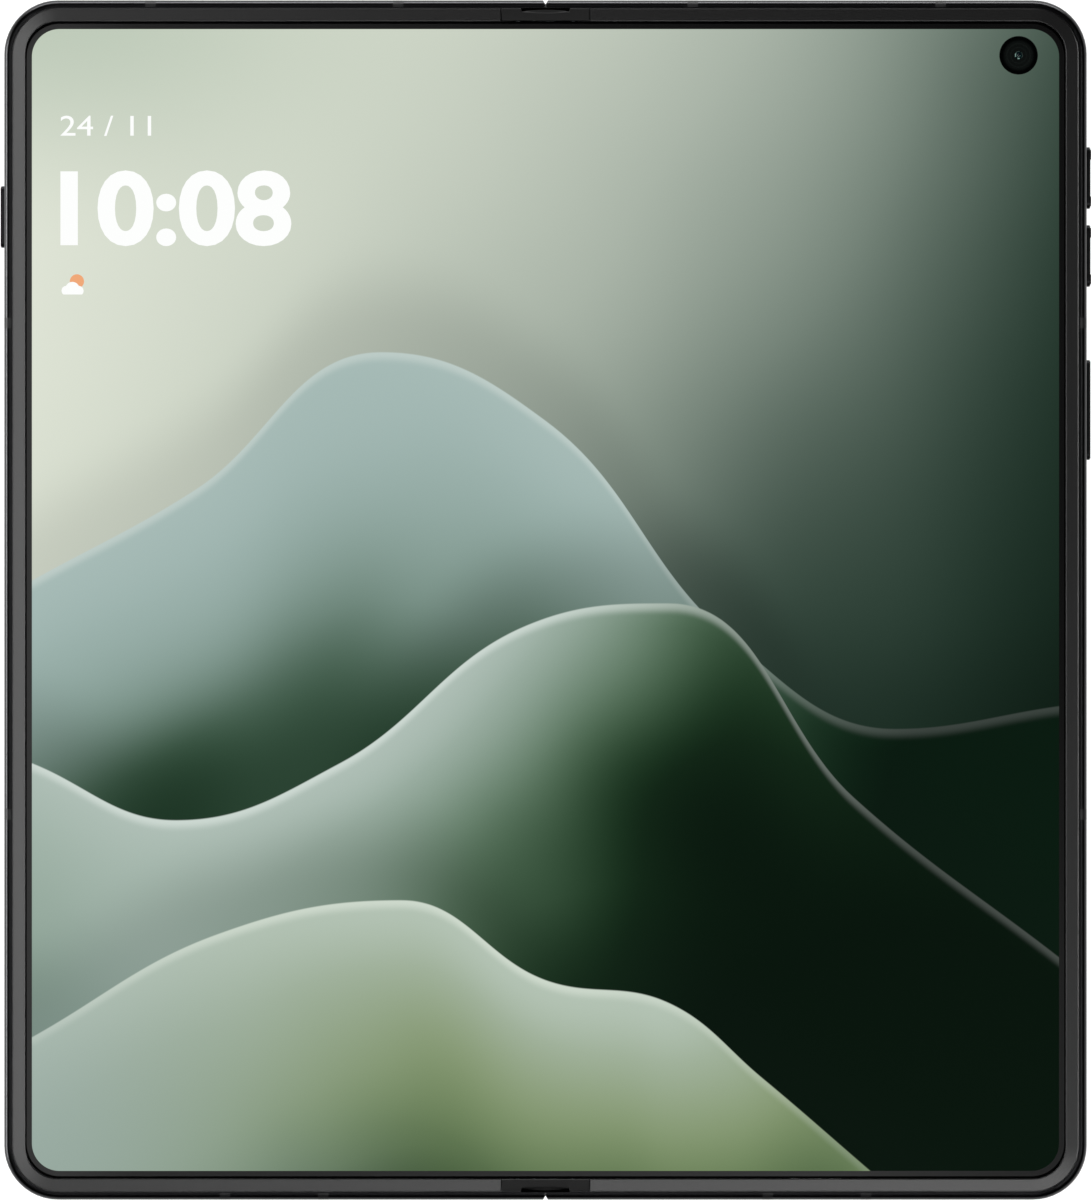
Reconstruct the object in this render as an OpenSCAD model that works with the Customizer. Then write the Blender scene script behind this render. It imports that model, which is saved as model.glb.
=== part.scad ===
// Book-style foldable smartphone, lying open on its back with the screen up.
// X runs across the opened phone, Y towards its top edge, Z out of the screen.
// The origin is under the middle of the fold, at the level of the camera rings.

/* [Body] */
// Width of the opened phone
open_w = 144.4; // [142:0.2:150]
// Height of the phone
open_h = 160.0; // [156:0.2:166]
// Thickness of each half at the bezel, without the camera bump
body_t = 4.6; // [4.5:0.05:5.2]
// Outer corner radius seen from the front
corner_r = 7.2; // [6.4:0.1:9]
// Width of the metal rim outside the bezel
rim_w = 1.0; // [0.9:0.05:1.2]
// Width of the raised bezel
bezel_w = 1.8; // [1.6:0.05:2]
// Height of the bezel above the rim
bezel_proud = 0.3; // [0.2:0.05:0.4]
// Radius of the rounded outer edges of the rim
edge_r = 0.9; // [0.6:0.05:0.95]
// Width of an antenna break in the rim
antenna_w = 1.4; // [1:0.1:2]

/* [Screen] */
// Depth of the screen surface below the bezel top
screen_sunk = 0.4; // [0.35:0.05:0.5]
// Thickness of the folding screen
screen_t = 0.35; // [0.3:0.05:0.4]
// Thickness of the steel sheet under the screen
support_t = 0.3; // [0.2:0.05:0.35]
// Half width of the part of the screen that bends
fold_zone = 3.2; // [3.1:0.05:3.6]
// Radius of the camera window in the screen
punch_r = 2.5; // [2:0.1:2.9]
// Distance of the camera window from the side of the phone
punch_x = 9.1; // [8:0.1:12]
// Distance of the camera window from the top of the phone
punch_y = 7.35; // [7:0.05:9]

/* [Covers] */
// Thickness of the rear cover and of the outer cover glass
glass_t = 0.5; // [0.45:0.05:0.55]
// Width of the metal rim that shows around the rear cover
cover_rim = 1.6; // [1.4:0.1:2]
// Thickness of the middle plate
midplate_t = 0.65; // [0.5:0.05:0.7]

/* [Hinge] */
// Half spacing of the two fold axes
fold_a = 0.6; // [0.6:0.01:0.65]
// Depth of the fold axes below the bezel top
fold_sink = 0.5; // [0.45:0.01:0.52]
// Outer radius of the hinge cover about each fold axis
spine_r = 3.4; // [3.3:0.02:3.44]
// Wall of the hinge cover
spine_wall = 0.45; // [0.4:0.05:0.5]
// Clearance between moving hinge pieces and the halves
swing_gap = 0.15; // [0.1:0.01:0.18]
// Width of the hinge bay in each half, from the fold
bay_w = 9.3; // [9.2:0.1:10.5]
// Width of an arc rail along the fold
rail_w = 5.0; // [4:0.1:5.4]
// Inner radius of an arc rail
rail_ri = 1.55; // [1.5:0.01:1.6]
// Outer radius of an arc rail
rail_ro = 2.1; // [2.05:0.01:2.15]
// Radial clearance of an arc rail in its groove
rail_gap = 0.06; // [0.04:0.01:0.08]
// Thickness of the hinge arms
arm_t = 0.6; // [0.5:0.05:0.6]
// Depth of the top of the arms below the bezel top
arm_sunk = 1.4; // [1.38:0.01:1.45]
// Depth of the gear shafts below the fold axes
gear_drop = 1.7; // [1.68:0.01:1.72]
// Distance between neighbouring gear shafts
gear_pitch = 1.5333; // [1.5333:0.0001:1.5353]
// Teeth of a whole gear
gear_teeth = 12; // [12:12:12]
// Width of the gears along the fold
gear_w = 3.0; // [2.4:0.1:3.2]
// Clearance between the hinge arms and what lies under them
arm_gap = 0.12; // [0.1:0.01:0.14]
// Distance of the middle rails from the middle of the phone
mid_gap = 0.4; // [0.35:0.05:0.45]
// Thickness of the walls between the hinge pieces along the fold
side_wall = 0.8; // [0.7:0.05:0.85]
// Length of a cam block along the fold
cam_len = 1.6; // [1.4:0.1:1.8]
// Length of a stack of disc springs
spring_len = 8.3; // [7.6:0.1:9]
// Half width of the hinge's base blocks
base_half = 2.85; // [2.8:0.01:2.87]
// Half width of the plate under the middle of the screen
centre_half = 2.9; // [2.8:0.05:3]
// Half width of that plate beside the hinge modules
centre_waist = 1.3; // [1.2:0.05:1.4]
// Radius of the gear shafts
shaft_r = 0.28; // [0.24:0.01:0.3]
// Radial clearance of the gears on their shafts
shaft_gap = 0.04; // [0.03:0.01:0.06]
// Distance of each main hinge module's outer end from the top or bottom edge
module_inset = 5.5; // [5:0.1:7]

/* [Camera bump] */
// Side of the square camera deck
deck_w = 32; // [30:0.5:34]
// Corner radius of the camera deck
deck_r = 8; // [6:0.5:9]
// Height of the camera deck above the rear cover
deck_h = 1.8; // [1.4:0.1:2.2]
// Distance of the deck centre from the side of the phone
deck_x = 22.2; // [21.8:0.1:23]
// Distance of the deck centre from the top of the phone
deck_y = 28; // [26.5:0.1:30]
// Height of the lens rings above the deck
ring_h = 0.4; // [0.3:0.05:0.6]
// Outer radius of the two large lens rings
big_ring_r = 5.6; // [5.2:0.1:6]
// Outer radius of the small lens ring
small_ring_r = 4.8; // [4.4:0.1:5.2]
// Width of a lens ring
ring_w = 0.9; // [0.7:0.05:1.1]
// Distance of the large lenses from the deck centre, along the phone
lens_dy = 7.2; // [6.8:0.1:7.6]
// Distance of the lenses from the deck centre, across the phone
lens_dx = 6.9; // [6.6:0.1:7.4]

/* [Keys and ports] */
// Height of the keys' middle above the back of the phone
key_z = 2.15; // [2.1:0.01:2.25]
// Width of the keys, front to back
key_h = 1.7; // [1.5:0.05:1.8]
// How far the keys stand out of the side
key_proud = 0.5; // [0.4:0.05:0.6]
// Clearance around a key
key_gap = 0.08; // [0.06:0.01:0.1]
// Travel of a key
key_travel = 0.25; // [0.2:0.05:0.3]
// Length of the volume keys
volume_len = 8.4; // [7.8:0.1:8.8]
// Length of the power key
power_len = 13.5; // [12:0.1:15]
// Length of the left side key
left_len = 8.4; // [7.8:0.1:9]
// Distance of the volume up key's middle from the top of the phone
volume_up_y = 23.7; // [23:0.1:24.5]
// Distance of the volume down key's middle from the top of the phone
volume_down_y = 34.1; // [33.6:0.1:34.6]
// Distance of the power key's middle from the top of the phone
power_y = 54.65; // [53:0.05:56]
// Distance of the left key's middle from the top of the phone
left_key_y = 28.9; // [27:0.1:31]
// Width of the USB-C opening
usb_w = 8.34; // [8.3:0.01:8.4]
// Height of the USB-C opening
usb_h = 2.56; // [2.5:0.01:2.6]
// Wall of the USB-C shell
usb_wall = 0.2; // [0.15:0.01:0.22]
// Depth of the USB-C shell
usb_depth = 7.3; // [6.8:0.1:7.6]
// Place of the USB-C port between the hinge bay and the side wall, as a share
usb_place = 0.4366; // [0.43:0.001:0.445]
// Height of the ports' middle above the back of the phone
usb_z = 2.0; // [2:0.01:2.02]
// Width of the tongue in the USB-C port
tongue_w = 6.7; // [6.6:0.05:6.8]
// Thickness of the tongue in the USB-C port
tongue_t = 0.7; // [0.65:0.05:0.75]
// Width of the card tray's face
tray_w = 14; // [13.4:0.1:14.6]
// Height of the card tray's face
tray_h = 1.9; // [1.7:0.05:2]
// Length of the card tray
tray_len = 20; // [18:0.5:21]
// Place of the card tray between the hinge bay and the side wall, as a share
tray_place = 0.1472; // [0.145:0.0005:0.15]
// Step from the tray's face in to its bed, on each side
tray_step = 0.7; // [0.6:0.05:0.8]
// Thickness of the tray's bed
bed_t = 0.8; // [0.7:0.05:0.9]
// Clearance around the card tray
tray_gap = 0.1; // [0.06:0.01:0.12]
// Place of the first speaker hole between the hinge bay and the side wall, as a share
grille_place = 0.621; // [0.615:0.001:0.63]
// Distance between neighbouring speaker holes
grille_step = 1.9; // [1.7:0.05:2]
// Radius of a speaker hole
grille_r = 0.5; // [0.4:0.05:0.55]
// Number of speaker holes in each half
grille_count = 7; // [5:1:7]

/* [Inner parts] */
// Thickness of the circuit boards
board_t = 0.6; // [0.5:0.05:0.7]
// Thickness of the shields on the boards
shield_t = 0.6; // [0.5:0.05:0.7]
// Radius of a screw's thread
screw_r = 0.45; // [0.4:0.01:0.5]
// Radius of a screw's head
head_r = 0.95; // [0.85:0.05:1.05]
// Height of a screw's head
head_h = 0.4; // [0.3:0.05:0.4]
// Distance of the boards from the walls around them
board_play = 1.0; // [0.8:0.1:1.2]
// Distance of the boards' screws from their edges
spot_in = 2.7; // [2.4:0.1:3]
// Height of the main board's arm beside the battery
board_arm = 13; // [12.6:0.1:14]
// Length of the lower board along the phone
lower_len = 28.2; // [27:0.2:29]
// Distance of the shields from the main board's edges
shield_in = 5; // [4.6:0.1:5.4]
// Distance of the batteries from boards and walls
cell_play = 1.5; // [1.2:0.1:1.8]
// Distance of the left battery from the bottom wall
left_cell_low = 7.2; // [5:0.2:9]
// Outer radius of the charging coil
coil_r = 22; // [20:0.5:24]
// Inner radius of the charging coil
coil_hole_r = 9; // [8:0.5:10]
// Thickness of the charging coil
coil_t = 0.2; // [0.15:0.01:0.22]
// Length of a speaker across the phone
speaker_len = 16; // [15:0.5:17]
// Depth of a speaker from the edge wall
speaker_deep = 15.2; // [13:0.2:15.6]
// Width of the vibration motor
motor_w = 8; // [7:0.2:8.4]
// Length of the vibration motor
motor_len = 12.5; // [11:0.5:14]
// Side of the rear cameras' square housings
camera_side = 11.4; // [10.6:0.1:11.6]
// Side of the front cameras' square housings
front_camera_side = 5.6; // [5.2:0.1:5.8]

/* [Hidden] */
$fn = 48;
eps = 0.01;
half_w = open_w / 2;
half_h = open_h / 2;
z_back = deck_h + ring_h;
z_bezel = z_back + body_t;
z_rim = z_bezel - bezel_proud;
z_screen = z_bezel - screen_sunk;
z_seat = z_screen - screen_t - 0.05;
z_support = z_screen - screen_t;
z_mid = z_support - support_t;
z_cavity = z_mid - midplate_t;
z_inner = z_back + glass_t;
z_axis = z_bezel - fold_sink;
z_lip = z_axis - spine_r - swing_gap;
z_gear = z_axis - gear_drop;
z_arm = z_bezel - arm_sunk;
z_arm0 = z_arm - arm_t;
z_key = z_back + key_z;
z_usb = z_back + usb_z;
wall_w = rim_w + bezel_w;
// Clearance between neighbouring parts that do not move
fit = 0.05;
// Distance of the rims' end faces from the fold line
fold_face = 0.05;
// Distance of the bezels' end faces from the fold line, under the end caps
cap_half = 6.0;
// Thin end wall beside the hinge cover's ends
end_wall = 1.6;
// Half width of the part of the bay that the hinge cover sweeps
sweep_w = fold_a + spine_r + 0.3;
spine_end = half_h - end_wall - 0.2;
spine_top = z_mid - 0.05;
spine_ri = spine_r - spine_wall;
base_r = spine_ri - 0.02;
base_top = z_mid - 0.1;
rib_w = 1.0;
rib_x = bay_w + rib_w;
// Screen border plus play between the bezel and the screen
screen_inset = wall_w + fit;
// Hinge modules: middles along the fold, outwards from the inner end
module_len = 2 * rail_w + gear_w + 4.5 * side_wall + 0.1 + cam_len + spring_len;
module_out = half_h - module_inset;
module_in = module_out - module_len;
rail_1 = module_in + side_wall;
rail_2 = rail_1 + rail_w + side_wall;
gear_y = rail_2 + rail_w + side_wall;
cam_y = gear_y + gear_w + side_wall + 0.1;
spring_y = cam_y + cam_len;
shaft_end = module_out - side_wall / 2;
rail_side = 0.1;
arm_tip = bay_w - 0.2;
pad_x = bay_w - 2.4;
gear_x = [-1.5 * gear_pitch, -0.5 * gear_pitch, 0.5 * gear_pitch, 1.5 * gear_pitch];
pitch_r = gear_pitch / 2;
tip_r = pitch_r + 0.09;
root_r = pitch_r - 0.125;
hub_r = pitch_r - 0.15;
bore_r = shaft_r + shaft_gap;
punch = [half_w - punch_x, half_h - punch_y];
deck = [half_w - deck_x, half_h - deck_y];
main_lens = [deck[0] - lens_dx, deck[1] + lens_dy];
wide_lens = [deck[0] - lens_dx, deck[1] - lens_dy];
tele_lens = [deck[0] + lens_dx, deck[1]];
flash_at = [tele_lens[0] + 0.5, deck[1] + (lens_dy + deck_w / 2) / 2 - 1.3];
rear_lenses = [[main_lens, big_ring_r], [wide_lens, big_ring_r], [tele_lens, small_ring_r]];
flash_r = 1.7;
// Clear width between the hinge bay's rib and the side wall, and the places along it
inner_w = half_w - wall_w - rib_x;
usb_at = rib_x + usb_place * inner_w;
tray_at = rib_x + tray_place * inner_w;
grille_at = rib_x + grille_place * inner_w;
cover_cam = [-half_w / 2, half_h - wall_w - front_camera_side + 0.4];
cover_cam_r = 1.9;
// Antenna breaks: distances from the fold on top and bottom, heights on the sides
top_breaks = half_w * [0.2722, 0.7299];
bottom_breaks = half_w * [0.4107, 0.5921];
side_breaks = [half_h * 0.4619, -half_h * 0.3575];
// Hinge flexes, passing above the hinge cover between the modules
flex_w = 5;
flex_t = 0.12;
flex_x = 14;
z_flex = z_cavity - 0.05 - flex_t;
// The microphone's hole in the bottom edge
mic_r = 0.4;
mic_at = grille_at + grille_count * grille_step + 1.2;
// Right side keys: middle height, length
right_keys = [
    [half_h - volume_up_y, volume_len],
    [half_h - volume_down_y, volume_len],
    [half_h - power_y, power_len]
];
// Height of the boards' upper face
z_board = z_inner + 1.15 + board_t;
// Edges of the main board in X and Y: it steps down where the camera deck begins
main_x = [rib_x + board_play, deck[0] - deck_w / 2 + 1.4, half_w - wall_w - board_play];
main_y = [deck[1] - deck_w / 2 + 1 - board_arm, deck[1] - deck_w / 2 + 1, half_h - wall_w - board_play];
flex_y = [main_y[0], main_y[0] + flex_w + 2];
// Speakers: from the first hole's side, back from the edge wall
speaker_x = [grille_at - 2, grille_at - 2 + speaker_len];
speaker_y = half_h - wall_w - speaker_deep;
// The lower board lies between the card tray and the speaker
lower_x = [tray_at + tray_w / 2 + 2.5, speaker_x[0] - 0.5];
lower_y = [board_play + wall_w - half_h, board_play + wall_w - half_h + lower_len];
board_screw_spots = [
    [main_x[0] + spot_in, main_y[2] - spot_in],
    [main_x[1] - spot_in, main_y[2] - spot_in],
    [main_x[0] + spot_in, main_y[1] + spot_in],
    [main_x[2] - spot_in, main_y[0] + spot_in],
    [lower_x[1] - spot_in, lower_y[1] - spot_in]
];
left_low = main_y[0] - cell_play;
left_screw_spots = [
    [-main_x[0] - spot_in, main_y[2] - spot_in],
    [-(speaker_x[0] + speaker_x[1]) / 2, speaker_y - cell_play - spot_in],
    [-main_x[0] - spot_in, main_y[1] + spot_in]
];
// Batteries: both end at the same height, below the boards
cell_x = [rib_x + cell_play, half_w - wall_w - cell_play];
cell_y = [lower_y[1] + cell_play, left_low - cell_play];
// Recess in the outer edge of an end cap: half widths at its mouth and floor, depths
dish_mouth = 3.3;
dish_floor = 3.0;
dish_deep = 0.42;
dish_bow = 0.13;
// Disc springs: height, section and outer radius
disc_h = 0.8;
disc_t = 0.24;
disc_r = 0.7;
// Gear teeth: pressure angle, base circle and the radii where a flank has points
pressure = 25;
base_circle = pitch_r * cos(pressure);
tooth_radii = [root_r - 0.02, base_circle + 0.002, pitch_r, (pitch_r + tip_r) / 2, tip_r];

// ---- Shared shapes ----

// A box from one corner to the opposite one.
module block(a, b) {
    translate(a) cube(b - a);
}

// Upright slab with round corners, given by its plan corners, radius and heights.
module round_slab(a, b, r, z0, z1) {
    translate([0, 0, z0]) linear_extrude(z1 - z0) round_plan(a, b, r);
}

// Plan of a rectangle with round corners.
module round_plan(a, b, r) {
    translate([a[0] + r, a[1]]) square([b[0] - a[0] - 2 * r, b[1] - a[1]]);
    translate([a[0], a[1] + r]) square([b[0] - a[0], b[1] - a[1] - 2 * r]);
    for (x = [a[0] + r, b[0] - r], y = [a[1] + r, b[1] - r]) translate([x, y]) circle(r);
}

// Plan of one half: straight at the fold, round at its two outer corners.
module half_plan(inset, x0) {
    r = corner_r - inset;
    x1 = half_w - inset;
    y1 = half_h - inset;
    translate([x0, -y1]) square([x1 - r - x0, 2 * y1]);
    translate([x0, r - y1]) square([x1 - x0, 2 * y1 - 2 * r]);
    for (s = [-1, 1]) translate([x1 - r, s * (y1 - r)]) circle(r);
}

module half_slab(inset, x0, z0, z1) {
    translate([0, 0, z0]) linear_extrude(z1 - z0) half_plan(inset, x0);
}

// A round post or hole along Z.
module post(p, r, z0, z1) {
    translate([p[0], p[1], z0]) cylinder(r = r, h = z1 - z0);
}

// A rod along Y.
module rod_y(x, z, r, y0, y1) {
    translate([x, y1, z]) rotate([90, 0, 0]) cylinder(r = r, h = y1 - y0);
}

// Carries a plan in X and Z along Y.
module along_y(y0, y1) {
    translate([0, y1, 0]) rotate([90, 0, 0]) linear_extrude(y1 - y0) children();
}

// Pill-shaped plan, long side along its first axis.
module pill(len, wid) {
    translate([-(len - wid) / 2, -wid / 2]) square([len - wid, wid]);
    for (s = [-1, 1]) translate([s * (len - wid) / 2, 0]) circle(wid / 2);
}

// A pill-shaped bar through the right side, from depth u0 to u1 below the outer face.
module side_pill(y, z, len, wid, u0, u1) {
    translate([half_w - u1, y, z]) rotate([90, 0, 90]) linear_extrude(u1 - u0) pill(len, wid);
}

// A pill-shaped bar through the bottom edge, from depth u0 to u1.
module end_pill(x, z, len, wid, u0, u1) {
    translate([x, u1 - half_h, z]) rotate([90, 0, 0]) linear_extrude(u1 - u0) pill(len, wid);
}

// A round hole through the bottom edge, from depth u0 to u1.
module end_hole(x, z, r, u0, u1) {
    translate([x, u1 - half_h, z]) rotate([90, 0, 0]) cylinder(r = r, h = u1 - u0);
}

// Repeats its children mirrored across the fold.
module across() {
    mirror([1, 0, 0]) children();
}

// Repeats its children at the top and, mirrored, at the bottom.
module both_ends() {
    children();
    mirror([0, 1, 0]) children();
}

// ---- Frames ----

// Section of the outer wall; its outer face is at zero and it grows to negative X.
module wall_section(depth) {
    difference() {
        union() {
            translate([-depth, z_back]) square([depth - edge_r, z_seat - z_back]);
            translate([-rim_w, z_back]) square([rim_w - edge_r, z_rim - z_back]);
            translate([-edge_r, z_back + edge_r]) square([edge_r, z_rim - z_back - 2 * edge_r]);
            for (z = [z_back + edge_r, z_rim - edge_r]) intersection() {
                translate([-edge_r, z]) circle(edge_r);
                translate([-edge_r, z_back]) square([edge_r, z_rim - z_back]);
            }
        }
        translate([-depth - eps, z_back - eps]) square([depth - cover_rim + eps, glass_t + eps]);
    }
}

// The wall around the two outer corners of one half and along its three sides.
module wall_run() {
    corner_x = half_w - corner_r;
    corner_y = half_h - corner_r;
    translate([half_w, corner_y, 0]) rotate([90, 0, 0])
        linear_extrude(2 * corner_y) wall_section(wall_w);
    both_ends() {
        translate([corner_x, corner_y, 0]) rotate_extrude(angle = 90)
            translate([corner_r, 0]) wall_section(wall_w);
        translate([sweep_w, half_h, 0]) rotate([90, 0, 90])
            linear_extrude(corner_x - sweep_w) wall_section(wall_w);
        translate([fold_face, half_h, 0]) rotate([90, 0, 90])
            linear_extrude(sweep_w - fold_face) wall_section(end_wall);
    }
}

// Cuts the rim's end beside the fold back to the circle that it turns in, and bevels it.
module fold_end_cut() {
    translate([0, 0, z_back - 1]) linear_extrude(body_t + 2)
        polygon([[-1, half_h - 0.5], [fold_face, half_h - 0.5], [0.35, half_h + eps], [-1, half_h + eps]]);
}

// Slots for the antenna breaks, as boxes in the rim of one half.
module break_boxes(depth) {
    both_ends_x = [[top_breaks, 1], [bottom_breaks, -1]];
    for (side = both_ends_x, x = side[0])
        translate([x - antenna_w / 2, side[1] > 0 ? half_h - depth : -half_h - 1, z_back - 1])
            cube([antenna_w, depth + 1, body_t + 2]);
    for (y = side_breaks)
        translate([half_w - depth, y - antenna_w / 2, z_back - 1])
            cube([depth + 1, antenna_w, body_t + 2]);
}

module antenna_fill() {
    intersection() {
        wall_run();
        break_boxes(rim_w - 0.1);
    }
}

// Key opening with the wider pocket behind it that holds the key's flange.
module key_cut(y, len) {
    side_pill(y, z_key, len, key_h, -1, rim_w + 0.1 + eps);
    side_pill(y, z_key, len + 1, key_h + 0.6, rim_w + 0.1, wall_w + 1);
}

// Lip, rib, middle plate and pads that both frames have beside the hinge.
module hinge_side() {
    difference() {
        union() {
            half_slab(wall_w - 0.2, bay_w, z_cavity, z_mid);
            block([fold_face, -half_h + end_wall - 0.2, z_back],
                  [rib_x, half_h - end_wall + 0.2, z_lip]);
            block([bay_w, -half_h + wall_w - 0.2, z_back],
                  [rib_x, half_h - wall_w + 0.2, z_mid]);
            both_ends() for (y = [rail_1, rail_2])
                block([pad_x, y, z_lip - eps], [bay_w + eps, y + rail_w, z_arm0]);
            for (y = [-rail_w - mid_gap, mid_gap])
                block([pad_x, y, z_lip - eps], [bay_w + eps, y + rail_w, z_arm0]);
        }
        for (y = flex_y)
            block([bay_w - 1, y - 0.5, z_flex - 0.4], [rib_x + 1, y + flex_w + 0.5, z_cavity]);
        arm_screw_holes();
    }
}

// Where the arm screws stand on the pads.
function arm_screw_spots() = [
    for (y = [rail_1, rail_2]) for (s = [-1, 1]) for (t = [1.3, rail_w - 1.3])
        [(pad_x + arm_tip) / 2, s * (y + t)],
    for (y = [-rail_w - mid_gap, mid_gap]) for (t = [1.3, rail_w - 1.3]) [(pad_x + arm_tip) / 2, y + t]
];

module arm_screw_holes() {
    for (p = arm_screw_spots()) post(p, screw_r + fit, z_lip + 0.3, z_arm0 + 1);
}

module right_frame() {
    color("#3a3b3c") difference() {
        union() {
            wall_run();
            hinge_side();
            for (p = board_screw_spots) post(p, head_r + 0.2, z_board, z_cavity + eps);
        }
        both_ends() fold_end_cut();
        break_boxes(rim_w - 0.1);
        for (k = right_keys) key_cut(k[0], k[1]);
        for (p = board_screw_spots) post(p, screw_r + fit, z_board - 1, z_cavity + 0.4);
        post(punch, punch_r + 0.25, z_cavity - 1, z_mid + 1);
        usb_cut();
        end_pill(tray_at, z_usb, tray_w + 2 * tray_gap, tray_h + 2 * tray_gap, -1, rim_w + eps);
        tray_space(rim_w, wall_w + 1);
        grille();
        end_hole(mic_at, z_usb, mic_r, -1, wall_w + 1);
    }
}

// Opening and seat of the USB-C shell, with the window for it in the middle plate.
module usb_cut() {
    end_pill(usb_at, z_usb, usb_w + 2 * fit, usb_h + 2 * fit, -1, rim_w + eps);
    usb_seat(rim_w);
    block([usb_at - usb_w / 2 - usb_wall - fit, wall_w - half_h, z_cavity - eps],
          [usb_at + usb_w / 2 + usb_wall + fit, rim_w + usb_depth + fit - half_h, z_mid + eps]);
}

// Space of the USB-C shell and its clearance, from depth u0 below the outer face.
module usb_seat(u0) {
    shell = 2 * (usb_wall + fit);
    end_pill(usb_at, z_usb, usb_w + shell, usb_h + shell, u0, rim_w + usb_depth + fit);
}

// Space that the card tray's bed slides through, from depth u0 to u1.
module tray_space(u0, u1) {
    w = tray_w / 2 - tray_step;
    h = bed_t / 2 + 0.15;
    block([tray_at - w, u0 - half_h, z_usb - h], [tray_at + w, u1 - half_h, z_usb + h]);
}

// Row of speaker holes through the bottom wall.
module grille() {
    for (i = [0 : grille_count - 1])
        end_hole(grille_at + i * grille_step, z_usb, grille_r, -1, wall_w + 1);
}

module left_frame() {
    color("#3a3b3c") difference() {
        union() {
            across() {
                wall_run();
                hinge_side();
            }
            for (p = left_screw_spots) post(p, head_r + 0.2, z_board, z_cavity + eps);
        }
        across() {
            both_ends() fold_end_cut();
            break_boxes(rim_w - 0.1);
            key_cut(half_h - left_key_y, left_len);
        }
        for (p = left_screw_spots) post(p, screw_r + fit, z_board - 1, z_cavity + 0.4);
        across() mirror([0, 1, 0]) grille();
    }
}

module right_antenna_breaks() {
    color("#252627") antenna_fill();
}

module left_antenna_breaks() {
    color("#252627") across() antenna_fill();
}

// Raised bezel around one half of the screen, up to the flexible end caps.
module bezel() {
    crown = 0.25;
    difference() {
        union() {
            half_slab(rim_w + fit, cap_half, z_seat, z_bezel - crown);
            half_slab(rim_w + fit + crown, cap_half, z_bezel - crown - eps, z_bezel);
        }
        half_slab(wall_w, cap_half - 1, z_seat - 1, z_bezel + 1);
    }
}

module right_bezel() {
    color("#202122") bezel();
}

module left_bezel() {
    color("#202122") across() bezel();
}

// ---- Screen ----

module right_display() {
    color("#0a0c0b") difference() {
        half_slab(screen_inset, fold_zone, z_support, z_screen);
        post(punch, punch_r, z_support - 1, z_screen + 1);
    }
}

module left_display() {
    color("#0a0c0b") across() half_slab(screen_inset, fold_zone, z_support, z_screen);
}

module fold_display() {
    color("#0a0c0b") block([-fold_zone, -half_h + screen_inset, z_support],
                           [fold_zone, half_h - screen_inset, z_screen]);
}

module right_support_plate() {
    color("#8d9195") difference() {
        half_slab(screen_inset + 0.5, fold_zone + 0.2, z_mid, z_support);
        post(punch, punch_r + 0.25, z_mid - 1, z_support + 1);
    }
}

module left_support_plate() {
    color("#8d9195") across() half_slab(screen_inset + 0.5, fold_zone + 0.2, z_mid, z_support);
}

// Plate on the hinge that carries the middle of the screen, waisted where arms pass.
module centre_support() {
    wide = centre_half;
    narrow = centre_waist;
    color("#8d9195") difference() {
        block([-wide, -spine_end + 1.2, z_mid], [wide, spine_end - 1.2, z_support]);
        for (s = [-1, 1]) {
            both_ends() block([s > 0 ? narrow : -wide - 1, module_in - 1, z_mid - 1],
                              [s > 0 ? wide + 1 : -narrow, module_out + 1, z_support + 1]);
            block([s > 0 ? narrow : -wide - 1, -rail_w - 1.4, z_mid - 1],
                  [s > 0 ? wide + 1 : -narrow, rail_w + 1.4, z_support + 1]);
        }
    }
}

// Flexible pieces that bridge the bezels at the fold, with the dished outer edge.
module hinge_end_caps() {
    outer = half_h - rim_w - fit;
    inner = half_h - wall_w + fit;
    color("#17181a") both_ends() difference() {
        block([-cap_half + 0.04, inner, z_seat + 0.02], [cap_half - 0.04, outer, z_bezel - 0.06]);
        translate([0, 0, z_seat - 1]) linear_extrude(3)
            polygon([[-dish_mouth, outer + eps], [-dish_floor, outer - dish_deep],
                     [0, outer - dish_deep - dish_bow], [dish_floor, outer - dish_deep],
                     [dish_mouth, outer + eps]]);
        block([-0.06, inner - 1, z_bezel - 0.3], [0.06, outer + 1, z_bezel]);
    }
}

// ---- Covers and cameras ----

module rear_cover() {
    color("#2c3531") difference() {
        half_slab(cover_rim + fit, rib_x + 0.1, z_back, z_inner);
        for (l = rear_lenses) post(l[0], l[1] - ring_w, z_back - 1, z_inner + 1);
        post(flash_at, flash_r, z_back - 1, z_inner + 1);
    }
}

module cover_glass() {
    color("#0b0c0d") across() half_slab(cover_rim + fit, rib_x + 0.1, z_back, z_inner);
}

module camera_deck() {
    crown = 0.5;
    lo = [deck[0] - deck_w / 2, deck[1] - deck_w / 2];
    hi = [deck[0] + deck_w / 2, deck[1] + deck_w / 2];
    color("#2a322f") difference() {
        union() {
            round_slab(lo, hi, deck_r, ring_h + crown, z_back);
            round_slab(lo + [crown, crown], hi - [crown, crown], deck_r - crown,
                       ring_h, ring_h + crown + eps);
        }
        for (l = rear_lenses) post(l[0], l[1] - ring_w, -1, z_back + 1);
        post(flash_at, flash_r, -1, z_back + 1);
    }
}

module lens_rings() {
    color("#6f7578") for (l = rear_lenses) difference() {
        post(l[0], l[1], 0, ring_h);
        post(l[0], l[1] - ring_w, -1, ring_h + 1);
    }
}

// Lens windows just below the rings' edge, and the window of the screen's camera.
module camera_glasses() {
    color("#101418") {
        for (l = rear_lenses) post(l[0], l[1] - ring_w, 0.1, 0.6);
        post(punch, punch_r - 0.02, z_screen - 0.3, z_screen - 0.02);
    }
}

module flash_window() {
    color("#e8e2cc") post(flash_at, flash_r, ring_h + 0.1, ring_h + 0.9);
}

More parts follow.
